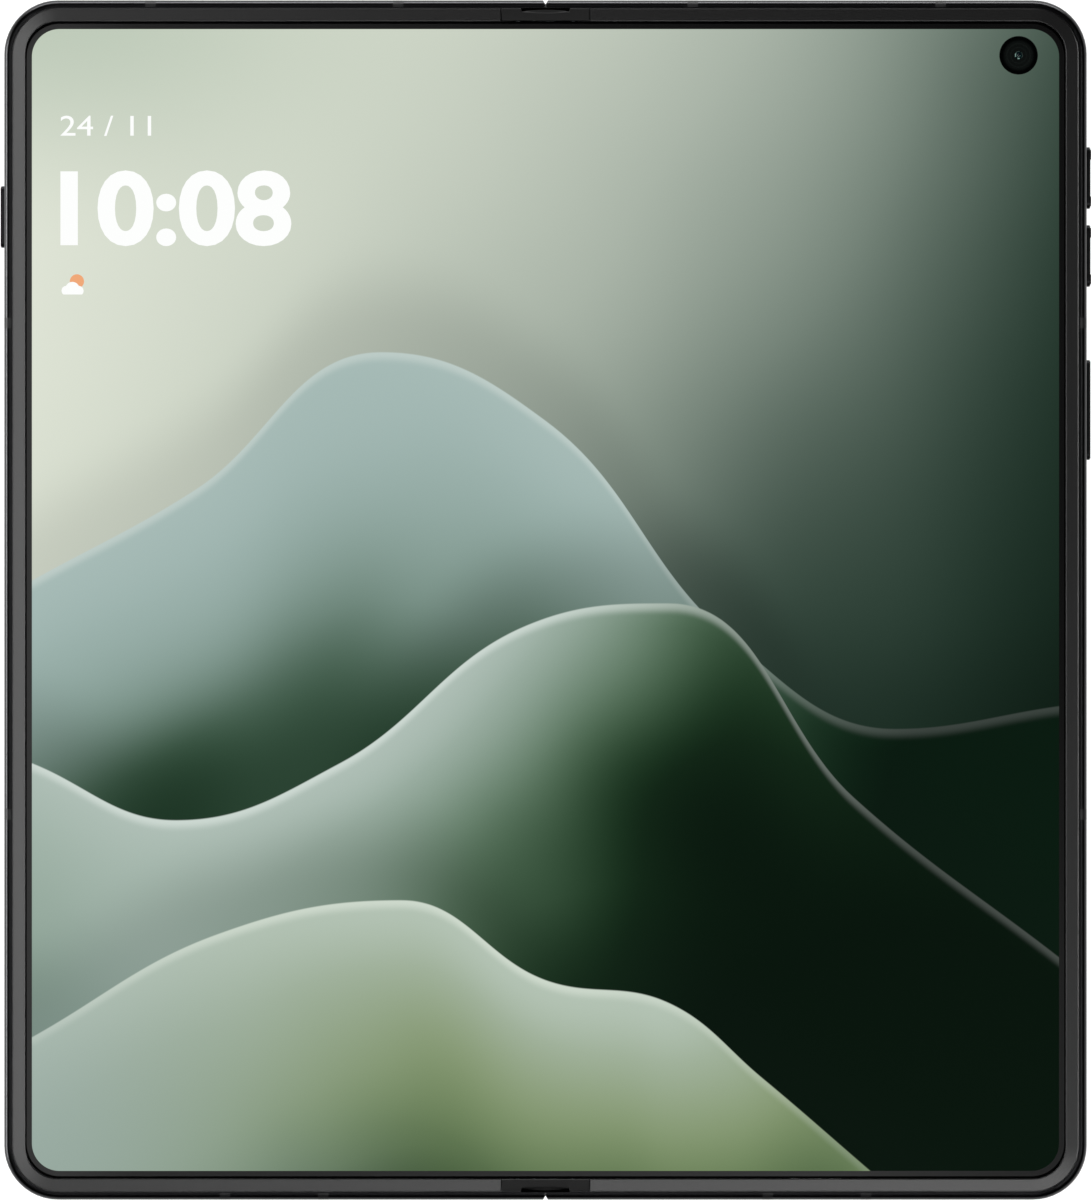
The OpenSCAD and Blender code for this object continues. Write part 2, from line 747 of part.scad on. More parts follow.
// Camera module: a barrel under its window and a square housing above it.
module rear_camera(p, r) {
    z0 = ring_h + 0.5;
    lens_r = r - 1.4;
    difference() {
        union() {
            post(p, r - 0.25, z0, z_inner + 0.2);
            housing(p, camera_side, z_inner + 0.1, z_cavity - 0.1);
        }
        post(p, lens_r, z0 - 1, z0 + 0.8);
    }
}

// A square housing about a lens axis.
module housing(p, side, z0, z1) {
    block([p[0] - side / 2, p[1] - side / 2, z0], [p[0] + side / 2, p[1] + side / 2, z1]);
}

module main_camera() {
    color("#1b1c1e") rear_camera(main_lens, big_ring_r - ring_w);
}

module ultrawide_camera() {
    color("#1b1c1e") rear_camera(wide_lens, big_ring_r - ring_w);
}

module tele_camera() {
    color("#1b1c1e") rear_camera(tele_lens, small_ring_r - ring_w);
}

module inner_camera() {
    color("#151618") difference() {
        union() {
            post(punch, punch_r - 0.1, z_cavity - 0.8, z_screen - 0.3);
            housing(punch, front_camera_side, z_cavity - 2.0, z_cavity - 0.1);
        }
        post(punch, punch_r / 3, z_screen - 0.7, z_screen);
    }
}

module cover_camera() {
    color("#151618") {
        post(cover_cam, cover_cam_r - 0.1, z_inner, z_inner + 1.2);
        housing(cover_cam, front_camera_side, z_inner + 0.8, z_cavity);
    }
}

module cover_display() {
    color("#101214") difference() {
        across() half_slab(cover_rim + 1.8, rib_x + 0.6, z_inner, z_inner + 0.6);
        post(cover_cam, cover_cam_r, z_inner - 1, z_inner + 2);
    }
}

// ---- Electronics ----

// A board screw: head under the board, thread up into the frame's post.
module board_screw(p) {
    post(p, head_r, z_board - board_t - head_h, z_board - board_t);
    post(p, screw_r, z_board - board_t - eps, z_cavity + 0.3);
}

// An arm screw: head on the arm, thread down into the pad.
module arm_screw(p) {
    post(p, head_r, z_arm - 0.25, z_arm + 0.1);
    post(p, screw_r, z_lip + 0.4, z_arm - 0.2);
}

module right_screws() {
    color("#9da1a5") {
        for (p = board_screw_spots) board_screw(p);
        for (p = arm_screw_spots()) arm_screw(p);
    }
}

module left_screws() {
    color("#9da1a5") {
        for (p = left_screw_spots) board_screw(p);
        across() for (p = arm_screw_spots()) arm_screw(p);
    }
}

// A board from a plan polygon, with screw holes.
module board(points, spots) {
    difference() {
        translate([0, 0, z_board - board_t]) linear_extrude(board_t) polygon(points);
        for (p = spots) post(p, screw_r + fit, z_board - 1, z_board + 1);
    }
}

module main_board() {
    color("#1c4a34") board([[main_x[0], main_y[0]], [main_x[2], main_y[0]], [main_x[2], main_y[1]],
                            [main_x[1], main_y[1]], [main_x[1], main_y[2]], [main_x[0], main_y[2]]],
                           board_screw_spots);
}

// Sockets on the right boards for the flat cables across the fold.
module cable_sockets() {
    for (y = flex_y)
        block([main_x[0] + 0.6, y + 0.5, z_board], [flex_x, y + flex_w - 0.5, z_flex]);
}

// Shield cans under the main board, and its cable sockets.
module board_shields() {
    z1 = z_board - board_t;
    color("#b4b8ba") {
        block([main_x[0] + shield_in, main_y[1] + shield_in, z1 - shield_t],
              [main_x[1] - shield_in / 2, main_y[2] - 2 * spot_in, z1]);
        block([main_x[0] + 2 * shield_in, main_y[0] + board_play, z1 - shield_t],
              [main_x[2] - 2 * shield_in, main_y[1] - board_play, z1]);
        cable_sockets();
    }
}

module left_connectors() {
    color("#b4b8ba") across() cable_sockets();
}

module right_battery() {
    color("#3b3f44") round_slab([cell_x[0], cell_y[0]], [cell_x[1], cell_y[1]], 1,
                                z_inner + coil_t + fit, z_cavity);
}

module charging_coil() {
    at = [(cell_x[0] + cell_x[1]) / 2, (cell_y[0] + cell_y[1]) / 2];
    color("#a86a3c") difference() {
        post(at, coil_r, z_inner, z_inner + coil_t);
        post(at, coil_hole_r, z_inner - 1, z_inner + 1);
    }
}

// The lower board, notched for the USB-C shell that is soldered into it.
module lower_board() {
    color("#1c4a34") difference() {
        board([[lower_x[0], lower_y[0]], [lower_x[1], lower_y[0]],
               [lower_x[1], lower_y[1]], [lower_x[0], lower_y[1]]], [board_screw_spots[4]]);
        usb_seat(0);
    }
}

module usb_receptacle() {
    color("#8f9396") difference() {
        end_pill(usb_at, z_usb, usb_w + 2 * usb_wall, usb_h + 2 * usb_wall,
                 rim_w + 0.02, rim_w + usb_depth);
        end_pill(usb_at, z_usb, usb_w, usb_h, 0, rim_w + usb_depth - 2 * usb_wall);
    }
}

// The port's tongue and the thicker block that holds it at the shell's back.
module usb_tongue() {
    y1 = rim_w + usb_depth - 2 * usb_wall - half_h;
    w = tongue_w / 2;
    t = tongue_t / 2;
    color("#1a1b1c") {
        block([usb_at - w, rim_w + 1.2 - half_h, z_usb - t], [usb_at + w, y1, z_usb + t]);
        block([usb_at - w - t, y1 - 1.2, z_usb - 2 * t], [usb_at + w + t, y1, z_usb + 2 * t]);
    }
}

module bottom_speaker() {
    color("#222426") round_slab([speaker_x[0], wall_w - half_h], [speaker_x[1], -speaker_y], 1.5,
                                z_inner + 0.1, z_cavity);
}

module top_speaker() {
    color("#222426") across()
        round_slab([speaker_x[0], speaker_y], [speaker_x[1], half_h - wall_w], 1.5, z_inner + 0.7, z_cavity);
}

module vibration_motor() {
    x0 = lower_x[0] + 0.5;
    y1 = lower_y[1] - board_play;
    color("#a3a7aa") round_slab([x0, y1 - motor_len], [x0 + motor_w, y1], 1,
                                z_inner + fit, z_board - board_t);
}

// Metal cage around the card tray.
module sim_reader() {
    sheet = 0.25;
    y1 = wall_w + tray_len - 1 - half_h;
    x = tray_w / 2 - tray_step + sheet;
    color("#9ea2a5") difference() {
        block([tray_at - x, wall_w - half_h, z_usb - bed_t / 2 - 0.15 - sheet],
              [tray_at + x, y1 + sheet, z_cavity]);
        tray_space(0, y1 + half_h);
    }
}

// The tray: its face in the bottom edge, its bed with the card's pocket.
module sim_tray() {
    w = tray_w / 2 - tray_step - tray_gap;
    y1 = wall_w + tray_len - 1.4 - half_h;
    color("#3a3b3c") difference() {
        union() {
            end_pill(tray_at, z_usb, tray_w, tray_h, 0.04, rim_w - 0.06);
            block([tray_at - w, rim_w - 0.1 - half_h, z_usb - bed_t / 2],
                  [tray_at + w, y1, z_usb + bed_t / 2]);
        }
        block([tray_at - w + bed_t, 2 * wall_w - half_h, z_usb - 0.1], [tray_at + w - bed_t, y1 - 1, z_usb + 1]);
        end_hole(tray_at + tray_w / 2 - 1.6, z_usb, 0.45, -1, rim_w - 0.2);
    }
}

module left_battery() {
    color("#3b3f44") across()
        round_slab([cell_x[0], wall_w + left_cell_low - half_h], [cell_x[1], cell_y[1]], 1,
                   z_inner + 0.65, z_cavity);
}

module left_board() {
    step_x = speaker_x[0] - board_play;
    step_y = speaker_y - cell_play;
    room = front_camera_side / 2 + 0.2;
    color("#1c4a34") difference() {
        across() board([[main_x[0], left_low], [main_x[2], left_low], [main_x[2], step_y],
                        [step_x, step_y], [step_x, main_y[2]], [main_x[0], main_y[2]]], []);
        for (p = left_screw_spots) post(p, screw_r + fit, z_board - 1, z_board + 1);
        block([cover_cam[0] - room, cover_cam[1] - room, z_inner], [cover_cam[0] + room, half_h, z_cavity]);
    }
}

// ---- Keys ----

// A key: pill head through the rim, flange behind it and a stem towards its switch.
module key(y, len, tips) {
    gap = 2 * key_gap;
    back = rim_w + 0.1 + 0.05;
    stem_u = wall_w - 0.5 - key_travel - 0.05;
    side_pill(y, z_key, len - gap, key_h - gap, -key_proud + 0.1, back + eps);
    side_pill(y, z_key, len - gap - 0.3, key_h - gap - 0.3, -key_proud, -key_proud + 0.1 + eps);
    if (tips) for (s = [-1, 1])
        side_pill(y + s * (len / 2 - 1.1), z_key, 1.3, key_h - gap - 0.4, -key_proud - 0.1, -key_proud + eps);
    side_pill(y, z_key, len + 1 - gap, key_h + 0.6 - gap, back, back + 0.3);
    side_pill(y, z_key, len / 3, key_h / 2, back + 0.3 - eps, stem_u);
}

module volume_up_key() {
    color("#2c2d2e") key(right_keys[0][0], right_keys[0][1], true);
}

module volume_down_key() {
    color("#2c2d2e") key(right_keys[1][0], right_keys[1][1], true);
}

module power_key() {
    color("#2c2d2e") key(right_keys[2][0], right_keys[2][1], false);
}

module left_key() {
    color("#2c2d2e") across() key(half_h - left_key_y, left_len, false);
}

// Switch strip in the pocket behind a key.
module key_switch(y, len) {
    side_pill(y, z_key, len + 1, key_h + 0.6, wall_w - 0.3, wall_w);
    side_pill(y, z_key, len / 3, key_h / 2, wall_w - 0.5, wall_w - 0.3 + eps);
}

module right_key_switches() {
    color("#b58a3a") for (k = right_keys) key_switch(k[0], k[1]);
}

module left_key_switch() {
    color("#b58a3a") across() key_switch(half_h - left_key_y, left_len);
}

// ---- Hinge ----

// Outline below the fold axes: two arcs about them, with a flat between.
module spine_plan(r, top) {
    intersection() {
        union() {
            for (s = [-1, 1]) translate([s * fold_a, z_axis]) circle(r);
            translate([-fold_a, z_axis - r]) square([2 * fold_a, r]);
        }
        translate([-2 * r, z_axis - 2 * r]) square([4 * r, 2 * r - (z_axis - top)]);
    }
}

// Pocket in the trough's wall for the outer gears and springs, leaving a thin skin.
module gear_relief() {
    intersection() {
        translate([gear_x[3], z_gear]) circle(tip_r + 0.07);
        translate([fold_a, z_axis]) circle(spine_r - 0.18);
    }
}

// The trough that shows at the back of the closed phone.
module spine_cover() {
    cut_z = z_arm0 - arm_gap;
    far = 2 * spine_r;
    color("#3f4143") difference() {
        along_y(-spine_end, spine_end) spine_plan(spine_r, spine_top);
        along_y(-spine_end + 0.6, spine_end - 0.6) spine_plan(spine_ri, spine_top + 1);
        both_ends() along_y(gear_y - 0.2, shaft_end) for (s = [0, 1]) mirror([s, 0]) gear_relief();
        both_ends() block([-far, module_in + 0.4, cut_z], [far, cam_y, spine_top + 1]);
        block([-far, -rail_w - 2 * mid_gap, cut_z], [far, rail_w + 2 * mid_gap, spine_top + 1]);
        block([-far, flex_y[0] - 1, z_flex - 0.3], [far, flex_y[1] + flex_w + 1, spine_top + 1]);
    }
}

// Section of an arc rail's groove and of the space that its arm swings through.
module rail_void() {
    difference() {
        translate([fold_a, z_axis]) circle(rail_ro + rail_gap);
        translate([fold_a, z_axis]) circle(rail_ri - rail_gap);
    }
    difference() {
        translate([2 * fold_a, z_arm0 - arm_gap]) square([2 * base_half, 2 * base_half]);
        translate([fold_a, z_axis]) circle(rail_ri - rail_gap);
    }
}

// Base blocks fixed in the trough; their side walls carry rails and shafts.
module hinge_bases() {
    color("#7d8285") {
        difference() {
            both_ends() along_y(module_in, module_out) base_plan();
            both_ends() {
                along_y(rail_1 - rail_side, rail_1 + rail_w + rail_side) rail_void();
                along_y(rail_2 - rail_side, rail_2 + rail_w + rail_side) mirror([1, 0]) rail_void();
                block([-spine_r, gear_y - 0.2, z_gear - pitch_r - 0.2],
                      [spine_r, gear_y + gear_w + 0.2, z_mid]);
                block([-spine_r, cam_y, z_gear - 0.9], [spine_r, shaft_end - side_wall, z_mid]);
                for (x = gear_x) rod_y(x, z_gear, shaft_r, gear_y - 0.7, shaft_end);
            }
        }
        difference() {
            along_y(-rail_w - mid_gap - side_wall, rail_w + mid_gap + side_wall) base_plan();
            along_y(mid_gap - rail_side, mid_gap + rail_w + rail_side) rail_void();
            along_y(-rail_w - mid_gap - rail_side, -mid_gap + rail_side) mirror([1, 0]) rail_void();
        }
    }
}

// Section of a base block, narrow enough above to stay clear of both arms.
module base_plan() {
    intersection() {
        spine_plan(base_r, base_top);
        translate([-base_half, 0]) square([2 * base_half, base_top]);
    }
}

// Arc rail and arm of the right half at one place along the fold.
module arc_arm(y) {
    along_y(y, y + rail_w) difference() {
        union() {
            intersection() {
                translate([fold_a, z_axis]) circle(rail_ro);
                translate([fold_a, z_axis]) polygon([[0, 0], [-4, -2.3], [-4, -4], [4, -4], [4, -2.3]]);
            }
            translate([fold_a + 1.2, z_arm0]) square([arm_tip - fold_a - 1.2, arm_t]);
        }
        translate([fold_a, z_axis]) circle(rail_ri);
    }
}

module arm_set(first) {
    difference() {
        union() {
            both_ends() arc_arm(first ? rail_1 : rail_2);
            arc_arm(first ? mid_gap : -rail_w - mid_gap);
        }
        for (p = arm_screw_spots()) post(p, screw_r + fit, z_arm0 - 1, z_arm + 1);
        for (p = arm_screw_spots()) post(p, head_r + fit, z_arm - 0.25, z_arm + 1);
    }
}

module right_arc_arms() {
    color("#6c7174") arm_set(true);
}

module left_arc_arms() {
    color("#6c7174") across() arm_set(false);
}

// One flank point of a gear tooth: involute of the base circle at radius r.
function involute(r) = let (a = acos(base_circle / r)) tan(a) * 180 / PI - a;
function half_tooth(r) = 90 / gear_teeth * 0.8 + involute(pitch_r) - involute(max(r, base_circle + 0.001));

module tooth(at) {
    flank = [for (r = tooth_radii) [r, half_tooth(r)]];
    up = [for (p = flank) p[0] * [cos(at + p[1]), sin(at + p[1])]];
    down = [for (i = [len(flank) - 1 : -1 : 0]) flank[i][0] * [cos(at - flank[i][1]), sin(at - flank[i][1])]];
    polygon(concat(up, down));
}

// Gear section from tooth first to tooth last, with its bore.
module gear_plan(body_r, first, last, phase) {
    step = 360 / gear_teeth;
    difference() {
        union() {
            circle(body_r);
            for (i = [first : last]) tooth(phase + i * step);
        }
        circle(bore_r);
    }
}

module idler(x, phase) {
    both_ends() along_y(gear_y, gear_y + gear_w)
        translate([x, z_gear]) gear_plan(root_r, 0, gear_teeth - 1, phase);
}

module right_idler_gears() {
    color("#9aa0a3") idler(gear_x[2], 0);
}

module left_idler_gears() {
    color("#9aa0a3") idler(gear_x[1], 180 / gear_teeth);
}

// Arm geared to its neighbour, meshing on the side of the middle through a quarter turn.
module sync_arm(phase) {
    both_ends() along_y(gear_y, gear_y + gear_w) {
        translate([gear_x[3], z_gear]) gear_plan(hub_r, 2, 6, phase);
        difference() {
            translate([gear_x[3], z_arm0]) square([arm_tip - gear_x[3], arm_t]);
            translate([gear_x[3], z_gear]) circle(bore_r);
            translate([gear_x[3], z_gear + gear_pitch]) circle(tip_r + 0.08);
        }
    }
}

module right_sync_arms() {
    color("#8a8f92") sync_arm(180 / gear_teeth);
}

module left_sync_arms() {
    color("#8a8f92") across() sync_arm(0);
}

module gear_shafts() {
    color("#b9bdc0") both_ends() for (x = gear_x)
        rod_y(x, z_gear, shaft_r, gear_y - 0.7, shaft_end);
}

// Block on the shafts that the springs press towards the gears, for the folds' friction.
module cam_blocks() {
    color("#a58a52") both_ends() difference() {
        along_y(cam_y + 0.2, spring_y) intersection() {
            translate([gear_x[0] - 0.6, z_gear - 0.65]) square([gear_x[3] - gear_x[0] + 1.2, 1.3]);
            spine_plan(base_r, base_top);
        }
        for (x = gear_x) rod_y(x, z_gear, shaft_r, cam_y - 1, spring_y + 1);
    }
}

// Stacks of disc springs on the shafts, turned about one after the other.
module disc_springs() {
    count = floor((shaft_end - side_wall - spring_y) / disc_h);
    color("#c9ccce") both_ends() for (x = gear_x, i = [0 : count - 1])
        translate([x, spring_y + disc_h * (i + (i % 2)), z_gear]) rotate([i % 2 == 0 ? -90 : 90, 0, 0])
            rotate_extrude() polygon([[shaft_r + 0.02, 0], [shaft_r + disc_t, 0],
                                      [disc_r, disc_h - disc_t], [disc_r, disc_h],
                                      [disc_r - disc_t, disc_h], [shaft_r + 0.02, disc_t]]);
}

// Flat cables across the fold.
module hinge_flex() {
    color("#8a5a28") for (y = flex_y) block([-flex_x, y, z_flex], [flex_x, y + flex_w, z_flex + flex_t]);
}

right_frame();
right_antenna_breaks();
right_bezel();
right_display();
right_support_plate();
rear_cover();
camera_deck();
main_camera();
ultrawide_camera();
tele_camera();
lens_rings();
camera_glasses();
flash_window();
inner_camera();
main_board();
board_shields();
right_battery();
charging_coil();
lower_board();
usb_receptacle();
usb_tongue();
bottom_speaker();
vibration_motor();
sim_reader();
right_key_switches();
right_screws();
right_arc_arms();
volume_up_key();
volume_down_key();
power_key();
sim_tray();
left_frame();
left_antenna_breaks();
left_bezel();
left_display();
left_support_plate();
cover_glass();
cover_display();
cover_camera();
left_battery();
left_board();
left_connectors();
top_speaker();
left_key_switch();
left_screws();
left_arc_arms();
left_key();
spine_cover();
hinge_bases();
gear_shafts();
disc_springs();
cam_blocks();
centre_support();
fold_display();
hinge_end_caps();
hinge_flex();
right_sync_arms();
left_sync_arms();
right_idler_gears();
left_idler_gears();
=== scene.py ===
"""Looks for the foldable smartphone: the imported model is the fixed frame, and the
folding screen, bezels, end caps, flat cables, camera glass and finishes go round it.

Lengths in the fields are millimetres in the model's own frame: X across the opened
phone, Y towards its top edge, Z out of the screen. Meshes are written in metres.
"""

import logging
import math
from dataclasses import dataclass
from enum import Enum
from functools import partial
from typing import Any, Callable, Dict, List, Optional, Sequence, Tuple

import bmesh
import bpy
import numpy as np
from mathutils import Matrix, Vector

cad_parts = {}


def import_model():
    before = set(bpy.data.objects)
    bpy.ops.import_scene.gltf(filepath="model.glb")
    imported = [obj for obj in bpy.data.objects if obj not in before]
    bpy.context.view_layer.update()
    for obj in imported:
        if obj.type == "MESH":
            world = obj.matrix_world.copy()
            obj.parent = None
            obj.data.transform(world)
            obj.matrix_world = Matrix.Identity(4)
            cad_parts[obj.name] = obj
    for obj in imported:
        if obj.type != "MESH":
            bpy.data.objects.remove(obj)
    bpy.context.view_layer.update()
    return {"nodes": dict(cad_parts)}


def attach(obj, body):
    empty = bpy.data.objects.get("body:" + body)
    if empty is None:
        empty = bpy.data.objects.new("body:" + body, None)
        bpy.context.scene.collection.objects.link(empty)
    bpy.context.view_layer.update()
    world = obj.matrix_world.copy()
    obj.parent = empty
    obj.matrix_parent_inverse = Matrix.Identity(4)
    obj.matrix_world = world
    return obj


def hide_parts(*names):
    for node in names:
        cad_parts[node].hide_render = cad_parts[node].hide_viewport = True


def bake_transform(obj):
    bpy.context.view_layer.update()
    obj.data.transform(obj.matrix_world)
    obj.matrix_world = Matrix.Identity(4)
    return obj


MM = 0.001
LOG = logging.getLogger("phone")
Pair = Tuple[float, float]
Vec = Tuple[float, float, float]
Box = Tuple[float, float, float, float]
Stops = Sequence[Tuple[float, str]]
AddNode = Callable[..., Any]


class Side(Enum):
    """A half of the opened phone."""

    RIGHT = ("right", 1.0, "right_half")
    LEFT = ("left", -1.0, "left_half")

    def __init__(self, label: str, sign: float, body: str) -> None:
        """Keeps its name in piece names, its sign along X and its CAD body."""
        self.label, self.sign, self.body = label, sign, body


class End(Enum):
    """An end of the fold."""

    TOP = ("top", 1.0)
    BOTTOM = ("bottom", -1.0)

    def __init__(self, label: str, sign: float) -> None:
        """Keeps its name in piece names and its sign along Y."""
        self.label, self.sign = label, sign


# ---------------------------------------------------------------- colour and nodes


def linear(hex_code: str) -> Tuple[float, float, float, float]:
    """Turns an sRGB hex colour into linear RGBA.

    Args:
        hex_code: six hex digits after a hash.

    Returns:
        Linear red, green and blue with an alpha of one.
    """
    parts = [int(hex_code[i : i + 2], 16) / 255 for i in (1, 3, 5)]
    lin = [p / 12.92 if p <= 0.04045 else ((p + 0.055) / 1.055) ** 2.4 for p in parts]
    return (lin[0], lin[1], lin[2], 1.0)


def add_node(
    tree: Any,
    kind: str,
    links: Optional[Dict[Any, Any]] = None,
    stops: Stops = (),
    **settings: Any,
) -> Any:
    """Adds one shader node with its settings, values, colour stops and links.

    Args:
        tree: the node tree.
        kind: the node's type name after the word ShaderNode.
        links: input name or index to what feeds it, which is a socket, a node, whose
            first output in use is meant, or a value to set.
        stops: position from zero to one and sRGB hex colour of each stop of a ramp.
        settings: properties of the node itself.

    Returns:
        The new node.
    """
    node = tree.nodes.new("ShaderNode" + kind)
    for name, value in settings.items():
        setattr(node, name, value)
    for key, value in (links or {}).items():
        if isinstance(value, bpy.types.Node):
            value = next(output for output in value.outputs if output.enabled)
        if isinstance(value, bpy.types.NodeSocket):
            tree.links.new(value, node.inputs[key])
        else:
            node.inputs[key].default_value = value
    elements = node.color_ramp.elements if stops else ()
    while len(elements) < len(stops):
        elements.new(0.5)
    for element, (position, hex_code) in zip(elements, stops):
        element.position = position
        element.color = linear(hex_code)
    return node


# ---------------------------------------------------------------- finishes


class Surface:
    """A finish: it names its material and says what the shader's inputs take."""

    name: str

    def inputs(self, add: AddNode) -> Dict[str, Any]:
        """What the principled shader takes.

        Args:
            add: adds a node to the material, as add_node does to a tree.

        Returns:
            Input names to sockets, nodes or values.
        """
        raise NotImplementedError

    def build(self) -> Any:
        """Builds the material, one principled shader with the finish's inputs.

        Returns:
            The material.
        """
        mat = bpy.data.materials.new(self.name)
        mat.use_nodes = True
        mat.node_tree.nodes.clear()
        add = partial(add_node, mat.node_tree)
        add("OutputMaterial", {"Surface": add("BsdfPrincipled", self.inputs(add))})
        return mat


@dataclass(frozen=True)
class Finish(Surface):
    """A surface with fine grain: two close tones, a spread of roughness and a bump.

    The grain is three-dimensional noise on Object coordinates, whose cells are
    grain_mm across; brushing stretches the cells along one axis. Slow noise, whose
    patches are patch_mm across, is added to grain_share of it, and the sum runs
    through the tones and roughness. The painted_crest_shade field is a height and a
    darker tone: above that height the surface takes the tone as painted shade, blended
    over crest_soft either way. Blasted and moulded skins have a grain of 0.03 to
    0.05 mm, too fine to show, so it is drawn 0.1 mm coarse.
    """

    name: str
    tone: str
    tone_two: str
    metallic: float = 0.0
    roughness: float = 0.4
    rough_spread: float = 0.08
    grain_mm: float = 0.4
    bump_mm: float = 0.004
    brush: Vec = (1.0, 1.0, 1.0)
    coat: float = 0.0
    patch_mm: float = 60.0
    ior: float = 1.5
    painted_crest_shade: Optional[Tuple[float, str]] = None
    crest_soft: float = 0.03
    coat_roughness: float = 0.08
    grain_share: float = 0.5
    tone_span: Pair = (0.5, 1.0)
    rough_span: Pair = (0.4, 1.1)

    def inputs(self, add: AddNode) -> Dict[str, Any]:
        """What the shader takes, on Object coordinates.

        Args:
            add: adds a node to the material.

        Returns:
            Input names to nodes or values.
        """
        place = add("TexCoord").outputs["Object"]
        cells = tuple(b / (self.grain_mm * MM) for b in self.brush)
        cell = add("Mapping", {"Vector": place, "Scale": cells})
        grain = add("TexNoise", {"Vector": cell, "Scale": 1.0, "Detail": 3.0, "Roughness": 0.6})
        slow = 1.0 / (self.patch_mm * MM)
        patch = add("TexNoise", {"Vector": place, "Scale": slow, "Detail": 2.0})
        both = add("Math", {0: grain, 1: self.grain_share, 2: patch}, operation="MULTIPLY_ADD")
        tones = zip(self.tone_span, (self.tone, self.tone_two))
        colour = add("ValToRGB", {"Fac": both}, list(tones))
        # Painted shade: above the given height the surface takes a darker tone.
        if self.painted_crest_shade:
            level, tone = self.painted_crest_shade
            low, high = (level - self.crest_soft) * MM, (level + self.crest_soft) * MM
            height = add("SeparateXYZ", {0: place}).outputs["Z"]
            above = add("MapRange", {"Value": height, "From Min": low, "From Max": high})
            colour = add("Mix", {0: above, 6: colour, 7: linear(tone)}, data_type="RGBA")
        spread = {
            "From Min": self.rough_span[0],
            "From Max": self.rough_span[1],
            "To Min": self.roughness - self.rough_spread,
            "To Max": self.roughness + self.rough_spread,
        }
        bump = {"Height": grain, "Strength": 1.0, "Distance": self.bump_mm * MM}
        return {
            "Base Color": colour,
            "Metallic": self.metallic,
            "Roughness": add("MapRange", {"Value": both, **spread}),
            "IOR": self.ior,
            "Normal": add("Bump", bump),
            "Coat Weight": self.coat,
            "Coat Roughness": self.coat_roughness,
        }


# Bead-blasted and anodised aluminium: an even dark grey that catches soft edge light,
# with painted shade along its top beside the bezel, where a darker tone stands in for
# the dark reflection there.
RIM_ALUMINIUM = Finish(
    "anodised_aluminium_graphite",
    "#39393a",
    "#424243",
    1.0,
    0.3,
    0.01,
    0.1,
    0.00005,
    painted_crest_shade=(6.33, "#19191a"),
)
# The keys are the same metal, polished a little more on their faces, in a darker tone that is
# painted shade.
KEY_ALUMINIUM_SHADED = Finish(
    "anodised_aluminium_key_shaded", "#1d1d1e", "#242425", 1.0, 0.28, 0.02, 0.1, 0.00005
)
# Moulded nylon in the antenna breaks, a shade duller than the metal.
ANTENNA_NYLON = Finish(
    "moulded_nylon_graphite", "#0e0e0f", "#121213", 0.0, 0.42, 0.04, 0.1, 0.0001, ior=1.4
)
# Moulded polycarbonate bezel with a soft satin skin.
BEZEL_POLYCARBONATE = Finish(
    "moulded_polycarbonate_bezel", "#111111", "#131313", 0.0, 0.25, 0.008, 0.1, 0.00004
)
# Moulded silicone rubber of the caps over the hinge ends.
CAP_RUBBER = Finish(
    "moulded_silicone_rubber", "#090909", "#0b0b0b", 0.0, 0.5, 0.03, 0.1, 0.0002, ior=1.33
)
# Near-black matt sheet in the slot beside each cap and in the gap between the rims, as painted
# shade that stands in for the shadow there.
SHADE_SHEET = Finish("painted_shade_sheet", "#020202", "#040404", 0.0, 0.9, 0.05, 0.15, 0.002, ior=1.1)
# Etched glass back: matt, very finely grained, dark green grey.
ETCHED_GLASS = Finish(
    "etched_glass_back", "#26302b", "#2d3832", 0.0, 0.42, 0.05, 0.12, 0.0015, coat=0.15
)
# The camera deck is machined and painted to match the back.
DECK_PAINT = Finish("painted_deck", "#242c28", "#2a332e", 0.3, 0.36, 0.05, 0.12, 0.001, coat=0.2)
# Turned aluminium of the lens rings.
RING_ALUMINIUM = Finish(
    "turned_aluminium_ring", "#8d9396", "#a2a7aa", 1.0, 0.22, 0.05, 0.1, 0.001
)
# Brushed aluminium of the hinge cover, brushed along the fold.
SPINE_ALUMINIUM = Finish(
    "brushed_aluminium_spine", "#54585b", "#696d70", 1.0, 0.3, 0.07, 0.12, 0.002, (1.0, 0.02, 1.0)
)
# Injected stainless steel of the hinge works.
HINGE_STEEL = Finish("moulded_steel_hinge", "#8b8f92", "#a5a9ac", 1.0, 0.35, 0.08, 0.2, 0.003)
# Rolled stainless sheet under the screen.
SUPPORT_STEEL = Finish(
    "rolled_steel_sheet", "#8f9396", "#a3a7aa", 1.0, 0.3, 0.05, 0.15, 0.001, (1.0, 0.05, 1.0)
)
# Sintered bronze of the cam blocks.
CAM_BRONZE = Finish("sintered_bronze", "#8a6a38", "#a5834a", 1.0, 0.45, 0.1, 0.25, 0.006)
# Solder resist over fibreglass.
BOARD_LAMINATE = Finish("solder_resist_green", "#0f3a26", "#1a5236", 0.0, 0.35, 0.1, 0.9, 0.01)
# Pressed nickel silver of shields, cages and shells.
SHIELD_SHEET = Finish("pressed_nickel_silver", "#a3a6a6", "#b9bcbc", 1.0, 0.3, 0.06, 0.3, 0.002)
# Laminated foil pouch of the cells.
CELL_FOIL = Finish("laminated_foil_pouch", "#24272b", "#31353a", 0.4, 0.4, 0.08, 1.2, 0.02)
# Enamelled copper of the coil.
COIL_COPPER = Finish("enamelled_copper", "#9a5a34", "#b87444", 1.0, 0.3, 0.06, 0.3, 0.004)
# Glass-filled nylon of speakers, camera housings and the port's tongue.
BLACK_NYLON = Finish("glass_filled_nylon", "#151617", "#202122", 0.0, 0.5, 0.08, 0.3, 0.004)
# Polyimide film of the flat cables and key switches.
POLYIMIDE = Finish("polyimide_film", "#8a4a16", "#a65f22", 0.0, 0.3, 0.06, 0.8, 0.003)
# Polished cover glass over a dark panel.
COVER_GLASS = Finish(
    "polished_cover_glass", "#050607", "#08090a", 0.0, 0.06, 0.01, 6.0, 0.0, coat=0.5, patch_mm=50.0
)
